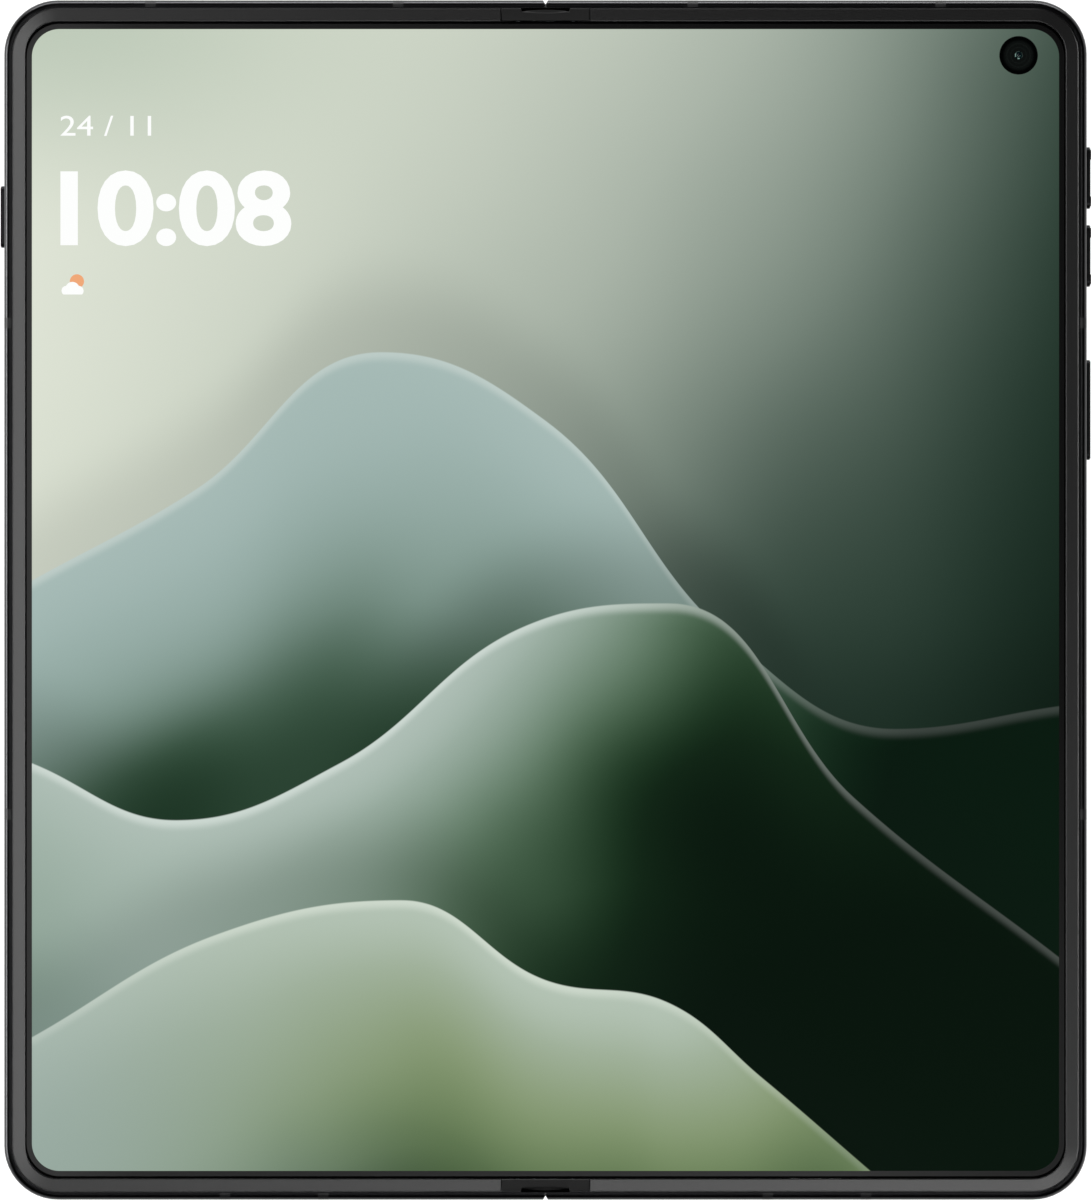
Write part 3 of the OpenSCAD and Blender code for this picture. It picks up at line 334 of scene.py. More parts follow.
# Frosted diffuser over the flash.
FLASH_DIFFUSER = Finish("frosted_diffuser", "#d9d2b4", "#efe9cf", 0.0, 0.4, 0.08, 0.3, 0.01)

# The CAD nodes that wear each finish.
NODES_IN: Tuple[Tuple[Finish, Tuple[str, ...]], ...] = (
    (RIM_ALUMINIUM, ("right_frame", "left_frame", "sim_tray")),
    (KEY_ALUMINIUM_SHADED, ("volume_up_key", "volume_down_key", "power_key", "left_key")),
    (ANTENNA_NYLON, ("right_antenna_breaks", "left_antenna_breaks")),
    (ETCHED_GLASS, ("rear_cover",)),
    (DECK_PAINT, ("camera_deck",)),
    (RING_ALUMINIUM, ("lens_rings",)),
    (FLASH_DIFFUSER, ("flash_window",)),
    (SPINE_ALUMINIUM, ("spine_cover",)),
    (COVER_GLASS, ("cover_display",)),
    (CAM_BRONZE, ("cam_blocks",)),
    (COIL_COPPER, ("charging_coil",)),
    (POLYIMIDE, ("right_key_switches", "left_key_switch")),
    (SUPPORT_STEEL, ("right_support_plate", "left_support_plate", "centre_support")),
    (HINGE_STEEL, ("hinge_bases", "gear_shafts", "disc_springs", "right_screws", "left_screws")),
    (HINGE_STEEL, ("right_arc_arms", "left_arc_arms", "right_sync_arms", "left_sync_arms")),
    (HINGE_STEEL, ("right_idler_gears", "left_idler_gears")),
    (BOARD_LAMINATE, ("main_board", "lower_board", "left_board")),
    (SHIELD_SHEET, ("board_shields", "left_connectors", "vibration_motor")),
    (SHIELD_SHEET, ("sim_reader", "usb_receptacle")),
    (CELL_FOIL, ("right_battery", "left_battery")),
    (BLACK_NYLON, ("bottom_speaker", "top_speaker", "usb_tongue", "main_camera")),
    (BLACK_NYLON, ("ultrawide_camera", "tele_camera", "inner_camera", "cover_camera")),
)


@dataclass(frozen=True)
class Glow(Surface):
    """A plain colour that is given off, such as the white of the clock."""

    name: str
    tone: str
    base: str = "#000000"
    roughness: float = 0.1

    def inputs(self, add: AddNode) -> Dict[str, Any]:
        """What the shader takes: a plain base and the colour that it gives off."""
        light = {"Emission Color": linear(self.tone), "Emission Strength": 1.0}
        return {"Base Color": linear(self.base), "Roughness": self.roughness, **light}


@dataclass(frozen=True)
class Mist:
    """A soft patch of one tone in a corner of the picture.

    Along each axis it starts at one place on the screen, is full at another, and has
    a share there; the two shares are multiplied.
    """

    across: Vec
    up: Vec
    tone: str

    def lay(self, add: AddNode, behind: Any, across: Any, up: Any) -> Any:
        """Lays the mist over what is behind it.

        Args:
            add: adds a node to the material.
            behind: the colour that it covers.
            across: the place across the screen, zero to one.
            up: the place up the screen, zero to one.

        Returns:
            The node of the colour with the mist in front.
        """
        shares = {}
        for index, place, (start, full, share) in ((0, across, self.across), (1, up, self.up)):
            run = {"Value": place, "From Min": start, "From Max": full, "To Max": share}
            shares[index] = add("MapRange", run, interpolation_type="SMOOTHSTEP")
        thick = add("Math", shares, operation="MULTIPLY")
        return add("Mix", {0: thick, 6: behind, 7: linear(self.tone)}, data_type="RGBA")


@dataclass(frozen=True)
class Veil:
    """One smooth hill of the wallpaper.

    The ridge is a curve of height over width, both from zero to one over the screen.
    Depth is the ridge's height at this width less the place's own height. The hill
    starts where depth passes the brow, so that a ridge at zero shows nothing. Its
    depth runs through a ramp of tones; slow noise pushes it about past the calm part
    below the ridge, and it leans to the last tones between the two places of turn.
    The ridge has a bright edge, weaker to the right, and darkens what is just behind.
    """

    ridge: Tuple[Pair, ...]
    tones: Stops
    depth: float
    wander: float
    noise_scale: float
    seed: float
    edge: str
    edge_share: float
    shade: float
    slant: float
    turn: Pair
    brow: float = 0.003
    brow_soft: float = 0.0006
    calm: Pair = (0.05, 0.5)
    edge_depth: float = 0.012
    edge_run: Pair = (0.45, 0.88)
    edge_end: float = 0.13
    dusk_depth: float = 0.11
    dusk: str = "#0b1610"

    def lay(self, add: AddNode, behind: Any, across: Any, up: Any) -> Any:
        """Lays the hill over what is behind it.

        Args:
            add: adds a node to the material.
            behind: the colour that it covers.
            across: the place across the screen, zero to one.
            up: the place up the screen, zero to one.

        Returns:
            The node of the colour with the hill in front.
        """
        ridge = add("FloatCurve", {"Value": across})
        points = ridge.mapping.curves[0].points
        while len(points) < len(self.ridge):
            points.new(0.5, 0.5)
        for point, place in zip(points, self.ridge):
            point.location = place
            point.handle_type = "AUTO_CLAMPED"
        ridge.mapping.update()
        depth = add("Math", {0: ridge, 1: up}, operation="SUBTRACT")
        start, soft = self.brow, self.brow_soft
        run = {"Value": depth, "From Min": start - soft, "From Max": start + soft}
        cover = add("MapRange", run)
        run = {"Value": depth, "From Min": start + self.edge_depth, "From Max": start}
        glint = add(
            "MapRange", {**run, "To Max": self.edge_share}, interpolation_type="SMOOTHERSTEP"
        )
        run = {"Value": across, "From Min": self.edge_run[0], "From Max": self.edge_run[1]}
        fade = add(
            "MapRange",
            {**run, "To Min": 1.0, "To Max": self.edge_end},
            interpolation_type="SMOOTHSTEP",
        )
        line = add("Math", {0: glint, 1: fade}, operation="MULTIPLY")
        ramp = add("ValToRGB", {"Fac": self._tone_at(add, depth, across, up)}, self.tones)
        ramp.color_ramp.interpolation = "B_SPLINE"
        hill = add("Mix", {0: line, 6: ramp, 7: linear(self.edge)}, data_type="RGBA")
        run = {"Value": depth, "From Min": -self.dusk_depth, "From Max": 0.0}
        dim = add("MapRange", {**run, "To Max": self.shade}, interpolation_type="SMOOTHERSTEP")
        shaded = add("Mix", {0: dim, 6: behind, 7: linear(self.dusk)}, data_type="RGBA")
        return add("Mix", {0: cover, 6: shaded, 7: hill}, data_type="RGBA")

    def _tone_at(self, add: AddNode, depth: Any, across: Any, up: Any) -> Any:
        """The place in the ramp of tones.

        Args:
            add: adds a node to the material.
            depth: the depth below the ridge.
            across: the place across the screen.
            up: the place up the screen.

        Returns:
            The node of the place, zero to one.
        """
        share = add("Math", {0: depth, 1: 1.0 / self.depth}, operation="MULTIPLY")
        place = add("CombineXYZ", {0: across, 1: up, 2: self.seed})
        slow = {"Scale": self.noise_scale, "Detail": 1.2, "Roughness": 0.4, "Distortion": 0.35}
        noise = add("TexNoise", {"Vector": place, **slow})
        pushed = add("Math", {0: noise, 1: 0.5}, operation="SUBTRACT")
        run = {"Value": share, "From Min": self.calm[0], "From Max": self.calm[1]}
        far = add("MapRange", {**run, "To Max": self.wander})
        moved = add("Math", {0: pushed, 1: far, 2: share}, operation="MULTIPLY_ADD")
        run = {"Value": across, "From Min": self.turn[0], "From Max": self.turn[1]}
        lean = add("MapRange", {**run, "To Max": self.slant}, interpolation_type="SMOOTHSTEP")
        return add("Math", {0: moved, 1: lean})


# Tone of the border's print from left to right, at mid height and at the bottom, with a painted
# sheen that makes it lighter at the left and towards the bottom.
BORDER_SHEEN_TONES = (
    ((0.0, "#464646"), (0.1, "#313131"), (0.6, "#1e1e1e"), (1.0, "#161616")),
    ((0.0, "#464646"), (0.1, "#353535"), (0.3, "#363636"), (0.78, "#424242"), (1.0, "#2e2e2e")),
)
# The sky behind the hills, along the diagonal from the upper left to the lower right.
SKY_TONES = (
    (0.0, "#e4e8da"),
    (0.22, "#d3dacb"),
    (0.42, "#a9b4a8"),
    (0.58, "#6f7f74"),
    (0.72, "#30453a"),
    (0.86, "#12241a"),
    (1.0, "#06120b"),
)
# What lies over the sky: mist at the upper left, three hills, mist at the lower left.
LAYERS = (
    Mist((0.5, 0.0, 1.0), (0.8, 1.02, 0.62), "#a3b6a2"),
    Veil(
        ridge=(
            (0.0, 0.52), (0.16, 0.60), (0.34, 0.72), (0.5, 0.66),
            (0.68, 0.47), (0.84, 0.39), (1.0, 0.41),
        ),
        tones=(
            (0.0, "#a9bdb9"), (0.16, "#9db3ae"), (0.36, "#7d958b"),
            (0.56, "#3c5a45"), (0.76, "#14301d"), (1.0, "#06140c"),
        ),
        depth=0.44,
        wander=1.364,
        noise_scale=1.9,
        seed=3.2,
        edge="#cfdad5",
        edge_share=0.5,
        shade=0.16,
        slant=1.05,
        turn=(0.5, 0.92),
    ),
    Veil(
        ridge=(
            (0.0, 0.36), (0.14, 0.31), (0.3, 0.36), (0.48, 0.48),
            (0.62, 0.50), (0.8, 0.33), (1.0, 0.19),
        ),
        tones=(
            (0.0, "#b4c3bb"), (0.14, "#9cb0a4"), (0.34, "#5d7a61"),
            (0.52, "#234028"), (0.7, "#0c1f11"), (1.0, "#06120a"),
        ),
        depth=0.5,
        wander=1.54,
        noise_scale=2.3,
        seed=7.9,
        edge="#dbe5df",
        edge_share=0.62,
        shade=0.22,
        slant=0.95,
        turn=(0.38, 0.98),
    ),
    Veil(
        ridge=(
            (0.0, 0.12), (0.18, 0.21), (0.36, 0.24), (0.5, 0.17),
            (0.62, 0.15), (0.71, 0.085), (0.82, 0.0),
        ),
        tones=(
            (0.0, "#b9c8bb"), (0.2, "#9fb09a"), (0.45, "#879a70"),
            (0.68, "#56704a"), (0.86, "#10241a"), (1.0, "#06130b"),
        ),
        depth=0.4,
        wander=1.32,
        noise_scale=2.0,
        seed=1.4,
        edge="#dfe8dc",
        edge_share=0.55,
        shade=0.24,
        slant=0.6,
        turn=(0.6, 0.8),
    ),
    Mist((0.42, 0.0, 0.75), (0.3, 0.0, 1.0), "#98aaa6"),
)


@dataclass(frozen=True)
class Wallpaper(Surface):
    """The lit panel: misty hills in sage, teal grey and deep green, inside a dark border.

    from_uv reads the piece's own UV map, where one unit is the whole open screen, for
    the strips of the fold zone. Otherwise the place comes from Object coordinates. sky_run
    is how far the sky's tone moves per width and per height, and where it starts.
    """

    name: str
    from_uv: bool
    half_x: float = 68.5
    half_y: float = 76.15
    corner: float = 3.7
    corner_soft: float = 0.02
    panel_edge: float = 4.4
    panel_soft: float = 0.03
    punch: Vec = (63.1, 72.65, 2.57)
    roughness: float = 0.07
    sky_run: Vec = (0.72, -0.42, 0.24)
    sky_drift: float = 0.3
    off_tone: str = "#020202"
    # Painted shadow: the panel's outermost edge, under the bezel, in near black.
    edge_shadow_tone: str = "#010101"

    def inputs(self, add: AddNode) -> Dict[str, Any]:
        """What the shader takes: a lit picture under a smooth, clear surface.

        Args:
            add: adds a node to the material.

        Returns:
            Input names to nodes or values.
        """
        coord = add("TexCoord")
        if self.from_uv:
            run = {0: coord.outputs["UV"], 1: (2 * self.half_x, 2 * self.half_y, 1.0)}
            run[2] = (-self.half_x, -self.half_y, 0.0)
            spot = add("VectorMath", run, operation="MULTIPLY_ADD")
        else:
            run = {0: coord.outputs["Object"], "Scale": 1.0 / MM}
            spot = add("VectorMath", run, operation="SCALE")
        axes = add("SeparateXYZ", {0: spot}).outputs
        across, up = (
            add("MapRange", {"Value": axes[index], "From Min": -half, "From Max": half})
            for index, half in enumerate((self.half_x, self.half_y))
        )
        inside, past = self._inside(add, axes)
        lit = self._round_print(add, axes, inside)
        run = {"Value": axes[1], "From Min": 0.0, "From Max": -self.half_y}
        down = add("MapRange", run, interpolation_type="SMOOTHSTEP")
        # The border's tones carry a painted sheen: lighter at the left and towards the bottom.
        middle, bottom = (add("ValToRGB", {"Fac": across}, tones) for tones in BORDER_SHEEN_TONES)
        border = add("Mix", {0: down, 6: middle, 7: bottom}, data_type="RGBA")
        border = add("Mix", {0: lit, 6: border, 7: linear(self.off_tone)}, data_type="RGBA")
        # Painted shadow: near black along the panel's edge under the bezel.
        border = add("Mix", {0: past, 6: border, 7: linear(self.edge_shadow_tone)}, data_type="RGBA")
        dark, picture = linear("#000000"), self._picture(add, across, up)
        return {
            "Base Color": border,
            "Roughness": self.roughness,
            "Emission Color": add("Mix", {0: lit, 6: dark, 7: picture}, data_type="RGBA"),
            "Emission Strength": 1.0,
        }

    def _inside(self, add: AddNode, axes: Any) -> Tuple[Any, Any]:
        """Masks of the lit area, a rectangle with round corners, and of the panel's edge.

        The distance from the corner's centre, in each axis no less than zero, is
        compared with the corner radius.

        Args:
            add: adds a node to the material.
            axes: sockets of X and Y in millimetres.

        Returns:
            A node that is one in the lit area, and one that is one at the panel's edge, where the
            painted shadow goes.
        """
        sides = {}
        for index, half in enumerate((self.half_x, self.half_y)):
            size = add("Math", {0: axes[index]}, operation="ABSOLUTE")
            past = add("Math", {0: size, 1: half - self.corner}, operation="SUBTRACT")
            sides[index] = add("Math", {0: past, 1: 0.0}, operation="MAXIMUM")
        reach = add("VectorMath", {0: add("CombineXYZ", sides)}, operation="LENGTH")
        lit, edge = (
            add("MapRange", {"Value": reach, "From Min": low, "From Max": high})
            for low, high in (
                (self.corner + self.corner_soft, self.corner - self.corner_soft),
                (self.panel_edge - self.panel_soft, self.panel_edge + self.panel_soft),
            )
        )
        return lit, edge

    def _round_print(self, add: AddNode, axes: Any, mask: Any) -> Any:
        """Takes the black print round the camera's hole out of the lit area.

        Args:
            add: adds a node to the material.
            axes: sockets of X and Y in millimetres.
            mask: node of the lit area.

        Returns:
            The node of the lit area without the disc.
        """
        x, y, radius = self.punch
        place = add("CombineXYZ", {0: axes[0], 1: axes[1]})
        reach = add("VectorMath", {0: place, 1: (x, y, 0.0)}, operation="DISTANCE")
        outside = add("Math", {0: reach, 1: radius}, operation="GREATER_THAN")
        return add("Math", {0: outside, 1: mask}, operation="MULTIPLY")

    def _picture(self, add: AddNode, across: Any, up: Any) -> Any:
        """The hills, from the sky forwards.

        Args:
            add: adds a node to the material.
            across: node of the place across the screen, zero to one.
            up: node of the place up the screen, zero to one.

        Returns:
            The node of the picture's colour.
        """
        place = add("CombineXYZ", {0: across, 1: up})
        drift = add("TexNoise", {"Vector": place, "Scale": 1.6, "Detail": 1.5, "Roughness": 0.45})
        right, rise, start = self.sky_run
        level = add("Math", {0: across, 1: right, 2: start}, operation="MULTIPLY_ADD")
        slope = add("Math", {0: up, 1: rise, 2: level}, operation="MULTIPLY_ADD")
        tone = add("Math", {0: drift, 1: self.sky_drift, 2: slope}, operation="MULTIPLY_ADD")
        colour = add("ValToRGB", {"Fac": tone}, SKY_TONES)
        colour.color_ramp.interpolation = "B_SPLINE"
        for layer in LAYERS:
            colour = layer.lay(add, colour, across, up)
        return colour


@dataclass(frozen=True)
class LensCoating(Surface):
    """Anti-reflection coating: nearly black, with a teal and violet cast on the dome.

    The distance from the lens axis picks the tone: violet grey at the pupil, teal at
    the dome's edge and the print beyond, with thin grey rings of painted highlight, where
    the barrel's steps would catch light, at the given shares of the rim's radius, and a
    black rim.
    """

    name: str
    centre: Pair
    dome: float
    rim: float
    rings: Tuple[float, ...] = ()
    print_tone: str = "#060908"
    cast: str = "#8fdcc6"
    dome_tones: Stops = ((0.0, "#06060a"), (0.45, "#0c0b18"), (0.85, "#0a2426"))
    dome_end: float = 1.05
    # Tone of the painted ring highlights.
    ring_highlight_tone: str = "#1d2220"
    ring_half: float = 0.03
    rim_fade: Pair = (0.72, 0.86)
    rim_tone: str = "#020303"

    def inputs(self, add: AddNode) -> Dict[str, Any]:
        """What the shader takes, on Object coordinates.

        Args:
            add: adds a node to the material.

        Returns:
            Input names to nodes or values.
        """
        place = add("TexCoord").outputs["Object"]
        centre = (self.centre[0] * MM, self.centre[1] * MM, 0.0)
        moved = add("VectorMath", {0: place, 1: centre}, operation="SUBTRACT")
        flat = add("VectorMath", {0: moved, 1: (1.0, 1.0, 0.0)}, operation="MULTIPLY")
        reach = add("VectorMath", {0: flat}, operation="LENGTH")
        share = add("Math", {0: reach, 1: 1.0 / (self.rim * MM)}, operation="MULTIPLY")
        edge, ink, half = self.dome / self.rim, self.print_tone, self.ring_half
        stops = [(edge * at, tone) for at, tone in (*self.dome_tones, (self.dome_end, ink))]
        # Thin grey rings: painted highlights where the barrel's steps would catch light.
        for ring in self.rings:
            stops += [(ring - half, ink), (ring, self.ring_highlight_tone), (ring + half, ink)]
        stops += zip(self.rim_fade, (ink, self.rim_tone))
        return {
            "Base Color": add("ValToRGB", {"Fac": share}, stops),
            "Roughness": 0.06,
            "Specular Tint": linear(self.cast),
            "Coat Weight": 0.5,
            "Coat Roughness": 0.03,
        }


# ---------------------------------------------------------------- surfaces


def grid_faces(rows: int, cols: int, wrap: bool) -> np.ndarray:
    """Quads between the points of a grid.

    Args:
        rows: points along the first parameter.
        cols: points along the second parameter.
        wrap: True if the second parameter closes on itself.

    Returns:
        One row of four vertex numbers per quad.
    """
    i, j = np.meshgrid(np.arange(rows - 1), np.arange(cols if wrap else cols - 1), indexing="ij")
    k = (j + 1) % cols
    quads = np.stack([i * cols + j, (i + 1) * cols + j, (i + 1) * cols + k, i * cols + k], -1)
    return quads.reshape(-1, 4)


def make_mesh(
    name: str,
    points: np.ndarray,
    faces: Sequence[Sequence[int]],
    smooth: bool = True,
    sharp: float = 35.0,
) -> Any:
    """Makes an object at the origin from points in millimetres.

    Args:
        name: the piece's name.
        points: one row of X, Y and Z per vertex.
        faces: vertex numbers of each face.
        smooth: True for smooth shading.
        sharp: degrees over which an edge stays sharp in smooth shading.

    Returns:
        The object, linked to the scene.
    """
    mesh = bpy.data.meshes.new(name)
    mesh.from_pydata((np.asarray(points) * MM).tolist(), [], [list(f) for f in faces])
    mesh.validate()
    obj = bpy.data.objects.new(name, mesh)
    bpy.context.scene.collection.objects.link(obj)
    mesh.polygons.foreach_set("use_smooth", [smooth] * len(mesh.polygons))
    if smooth:
        mesh.set_sharp_from_angle(angle=math.radians(sharp))
    mesh.update()
    return obj


def values_of(items: Any, name: str, width: int, kind: Any = np.float64) -> np.ndarray:
    """Reads one property of a mesh's vertices, loops or triangles as an array.

    Args:
        items: the collection.
        name: the property.
        width: values per item.
        kind: the array's number type.

    Returns:
        One row per item.
    """
    values = np.empty(len(items) * width, dtype=kind)
    items.foreach_get(name, values)
    return values.reshape(-1, width)


def along_x(x: np.ndarray, section: Any) -> np.ndarray:
    """Rings for a loft along X: the section's points, each moved to the station's X.

    Args:
        x: the stations.
        section: Y and Z of each point, for all stations or for each.

    Returns:
        Array of stations by points by three.
    """
    section = np.asarray(section)
    rings = np.empty((len(x), section.shape[-2], 3))
    rings[..., 0] = x[:, None]
    rings[..., 1:] = section
    return rings


def block(y0: float, y1: float, z0: float, z1: float) -> List[Pair]:
    """Section of a plain bar: the corners between two Y and two Z."""
    return [(y0, z0), (y0, z1), (y1, z1), (y1, z0)]


def loft(name: str, rings: np.ndarray, sharp: float = 35.0) -> Any:
    """A closed solid from rings of points: ring i runs round the section at station i.

    Args:
        name: the piece's name.
        rings: array of stations by points by three, in millimetres.
        sharp: degrees over which an edge stays sharp.

    Returns:
        The object.
    """
    stations, count = rings.shape[:2]
    faces: List[Sequence[int]] = [tuple(f) for f in grid_faces(stations, count, True)]
    faces.append(tuple(range(count)))
    faces.append(tuple(range((stations - 1) * count, stations * count))[::-1])
    obj = make_mesh(name, rings.reshape(-1, 3), faces, True, sharp)
    face_outwards(obj)
    return obj


def face_outwards(obj: Any) -> None:
    """Turns a closed mesh's faces outwards, by the sign of its volume.

    Args:
        obj: the piece.
    """
    mesh = obj.data
    mesh.calc_loop_triangles()
    index = values_of(mesh.loop_triangles, "vertices", 3, np.int32)
    a, b, c = values_of(mesh.vertices, "co", 3)[index].transpose(1, 0, 2)
    if float(np.einsum("ij,ij->i", a, np.cross(b, c)).sum()) < 0:
        mesh.flip_normals()


def turned(
    name: str, centre: Pair, profile: Sequence[Pair], steps: int = 72, sharp: float = 12.0
) -> Any:
    """A solid of revolution about an upright axis.

    Each profile point (radius, height) goes round the centre, and the profile, which
    starts and ends at radius zero, gives a closed solid.

    Args:
        name: the piece's name.
        centre: X and Y of the axis.
        profile: radius and height pairs, in order along the section.
        steps: points round the axis.
        sharp: degrees over which an edge stays sharp.

    Returns:
        The object.
    """
    angle = np.linspace(0, 2 * np.pi, steps, endpoint=False)
    radius, height = np.asarray(profile).T
    x = centre[0] + np.outer(np.cos(angle), radius)
    y = centre[1] + np.outer(np.sin(angle), radius)
    rings = np.stack([x, y, np.broadcast_to(height, x.shape)], -1)
    rings = np.concatenate([rings, rings[:1]])
    obj = make_mesh(name, rings.reshape(-1, 3), grid_faces(*rings.shape[:2], True))
    merge_close(obj)
    obj.data.set_sharp_from_angle(angle=math.radians(sharp))
    face_outwards(obj)
    return obj


def merge_close(obj: Any, reach: float = 0.0005) -> None:
    """Joins vertices that lie in one place, so that seams and poles are closed.

    Args:
        obj: the piece.
        reach: how far apart they may be.
    """
    work = bmesh.new()
    work.from_mesh(obj.data)
    bmesh.ops.remove_doubles(work, verts=work.verts, dist=reach * MM)
    bmesh.ops.recalc_face_normals(work, faces=work.faces)
    work.to_mesh(obj.data)
    work.free()


def dress(obj: Any, finish: Surface) -> None:
    """Gives a piece one finish, whose material is built on first use.

    Args:
        obj: the piece or CAD node.
        finish: the finish.
    """
    obj.data.materials.clear()
    obj.data.materials.append(bpy.data.materials.get(finish.name) or finish.build())


# ---------------------------------------------------------------- sub-assemblies


@dataclass
class Body:
    """Sizes of the opened phone that several sub-assemblies share."""

    half_w: float = 72.2
    half_h: float = 80.0
    corner_r: float = 7.2
    bezel_top: float = 6.8
    seat: float = 6.0
    rim_w: float = 1.0
    bezel_w: float = 1.8
    screen_top: float = 6.4
    screen_t: float = 0.35
    fold_zone: float = 3.2
    cap_half: float = 6.0
    corner_steps: int = 20
    edge_steps: int = 12
    side_steps: int = 26

    def outline(self, start: float) -> Tuple[np.ndarray, np.ndarray]:
        """Path of the right half's three sides, from the top at start to the bottom.

        A point at depth u inside the outer face is centre + (corner_r - u) * normal.

        Args:
            start: X where the path begins and ends.

        Returns:
            Centres and outward normals, one row per station.
        """
        cx, cy = self.half_w - self.corner_r, self.half_h - self.corner_r
        turn = np.linspace(90, 0, self.corner_steps)
        along = np.linspace(start, cx, self.edge_steps)[:-1]
        down = np.linspace(cy, -cy, self.side_steps)[1:-1]
        parts = (
            (along, cy, 90.0),
            (cx, cy, turn),
            (cx, down, 0.0),
            (cx, -cy, turn - 90),
            (along[::-1], -cy, -90.0),
        )
        x, y, angle = np.concatenate([np.stack(np.broadcast_arrays(*p)) for p in parts], -1)
        rad = np.radians(angle)
        return np.stack([x, y], -1), np.stack([np.cos(rad), np.sin(rad)], -1)


@dataclass
class Bezel:
    """The raised frame round each half of the screen, with a gently sloped crown."""

    body: Body
    outer_play: float = 0.1
    inner_play: float = 0.01
    foot_play: float = 0.005
    facet: float = 0.12
    facet_lean: float = 16.0
    slope: float = 0.1
    sharp: float = 6.0

    def section(self) -> np.ndarray:
        """Section of the bezel as depth and height pairs.

        The crown climbs from the outer edge to the inner one by slope, so that each
        side leans outwards. A narrow facet, facet wide and facet_lean degrees steep,
        falls away from each edge of the crown, above an upright wall.

        Returns:
            Closed outline, one row per point.
        """
        b = self.body
        u0, u1 = b.rim_w + self.outer_play, b.rim_w + b.bezel_w - self.inner_play
        fall = self.facet * math.tan(math.radians(self.facet_lean))
        high, low, foot = b.bezel_top, b.bezel_top - self.slope, b.seat + self.foot_play
        outer = [[u0, foot], [u0, low - fall], [u0 + self.facet, low]]
        inner = [[u1 - self.facet, high], [u1, high - fall], [u1, foot]]
        return np.array(outer + inner)

    def build(self, side: Side) -> Any:
        """Builds one half's bezel and puts it in place of the CAD one.

        Args:
            side: which half.

        Returns:
            The piece.
        """
        centres, normals = self.body.outline(self.body.cap_half)
        section = self.section()
        reach = self.body.corner_r - section[:, 0]
        xy = centres[:, None, :] + normals[:, None, :] * reach[None, :, None]
        z = np.broadcast_to(section[:, 1], xy.shape[:2])
        rings = np.concatenate([xy, z[..., None]], -1) * (side.sign, 1, 1)
        obj = loft(f"{side.label}_bezel_ring", rings, self.sharp)
        dress(obj, BEZEL_POLYCARBONATE)
        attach(obj, side.body)
        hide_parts(f"{side.label}_bezel")
        return obj


@dataclass
class Screen:
    """The folding panel: two flat parts from the CAD nodes and two strips over the fold zone."""

    body: Body
    inset: float = 2.85
    bend: float = 2.0
    columns: int = 17

    def dress_flats(self, nodes: Dict[str, Any]) -> None:
        """Gives the flat parts the lit panel's material.

        Args:
            nodes: the CAD nodes.
        """
        for side in Side:
            dress(nodes[f"{side.label}_display"], Wallpaper("lit_panel_flat", False))

    def strip(self, side: Side) -> Any:
        """Builds the half of the fold zone beside one flat part.

        Stations run from the fold to the flat part; each ring goes round the panel's
        section along Y. The UV map is the place on the open screen.

        Args:
            side: which half.

        Returns:
            The piece.
        """
        b = self.body
        paper = Wallpaper("lit_panel_fold", True)
        x = np.linspace(0, b.fold_zone, self.columns) * side.sign
        y = b.half_h - self.inset
        top, low = b.screen_top, b.screen_top - b.screen_t
        ring = [[-y, low], [-y, top], [0, top], [y, top], [y, low], [0, low]]
        obj = loft(f"{side.label}_fold_strip", along_x(x, ring))
        corner = values_of(obj.data.loops, "vertex_index", 1, np.int32)[:, 0]
        place = values_of(obj.data.vertices, "co", 3)[corner, :2] / MM
        uv = place / (2 * paper.half_x, 2 * paper.half_y) + 0.5
        layer = obj.data.uv_layers.new(name="UVMap")
        layer.data.foreach_set("uv", uv.astype(np.float32).ravel())
        dress(obj, paper)
        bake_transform(obj)
        if side is Side.RIGHT:
            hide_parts("fold_display")
        return obj


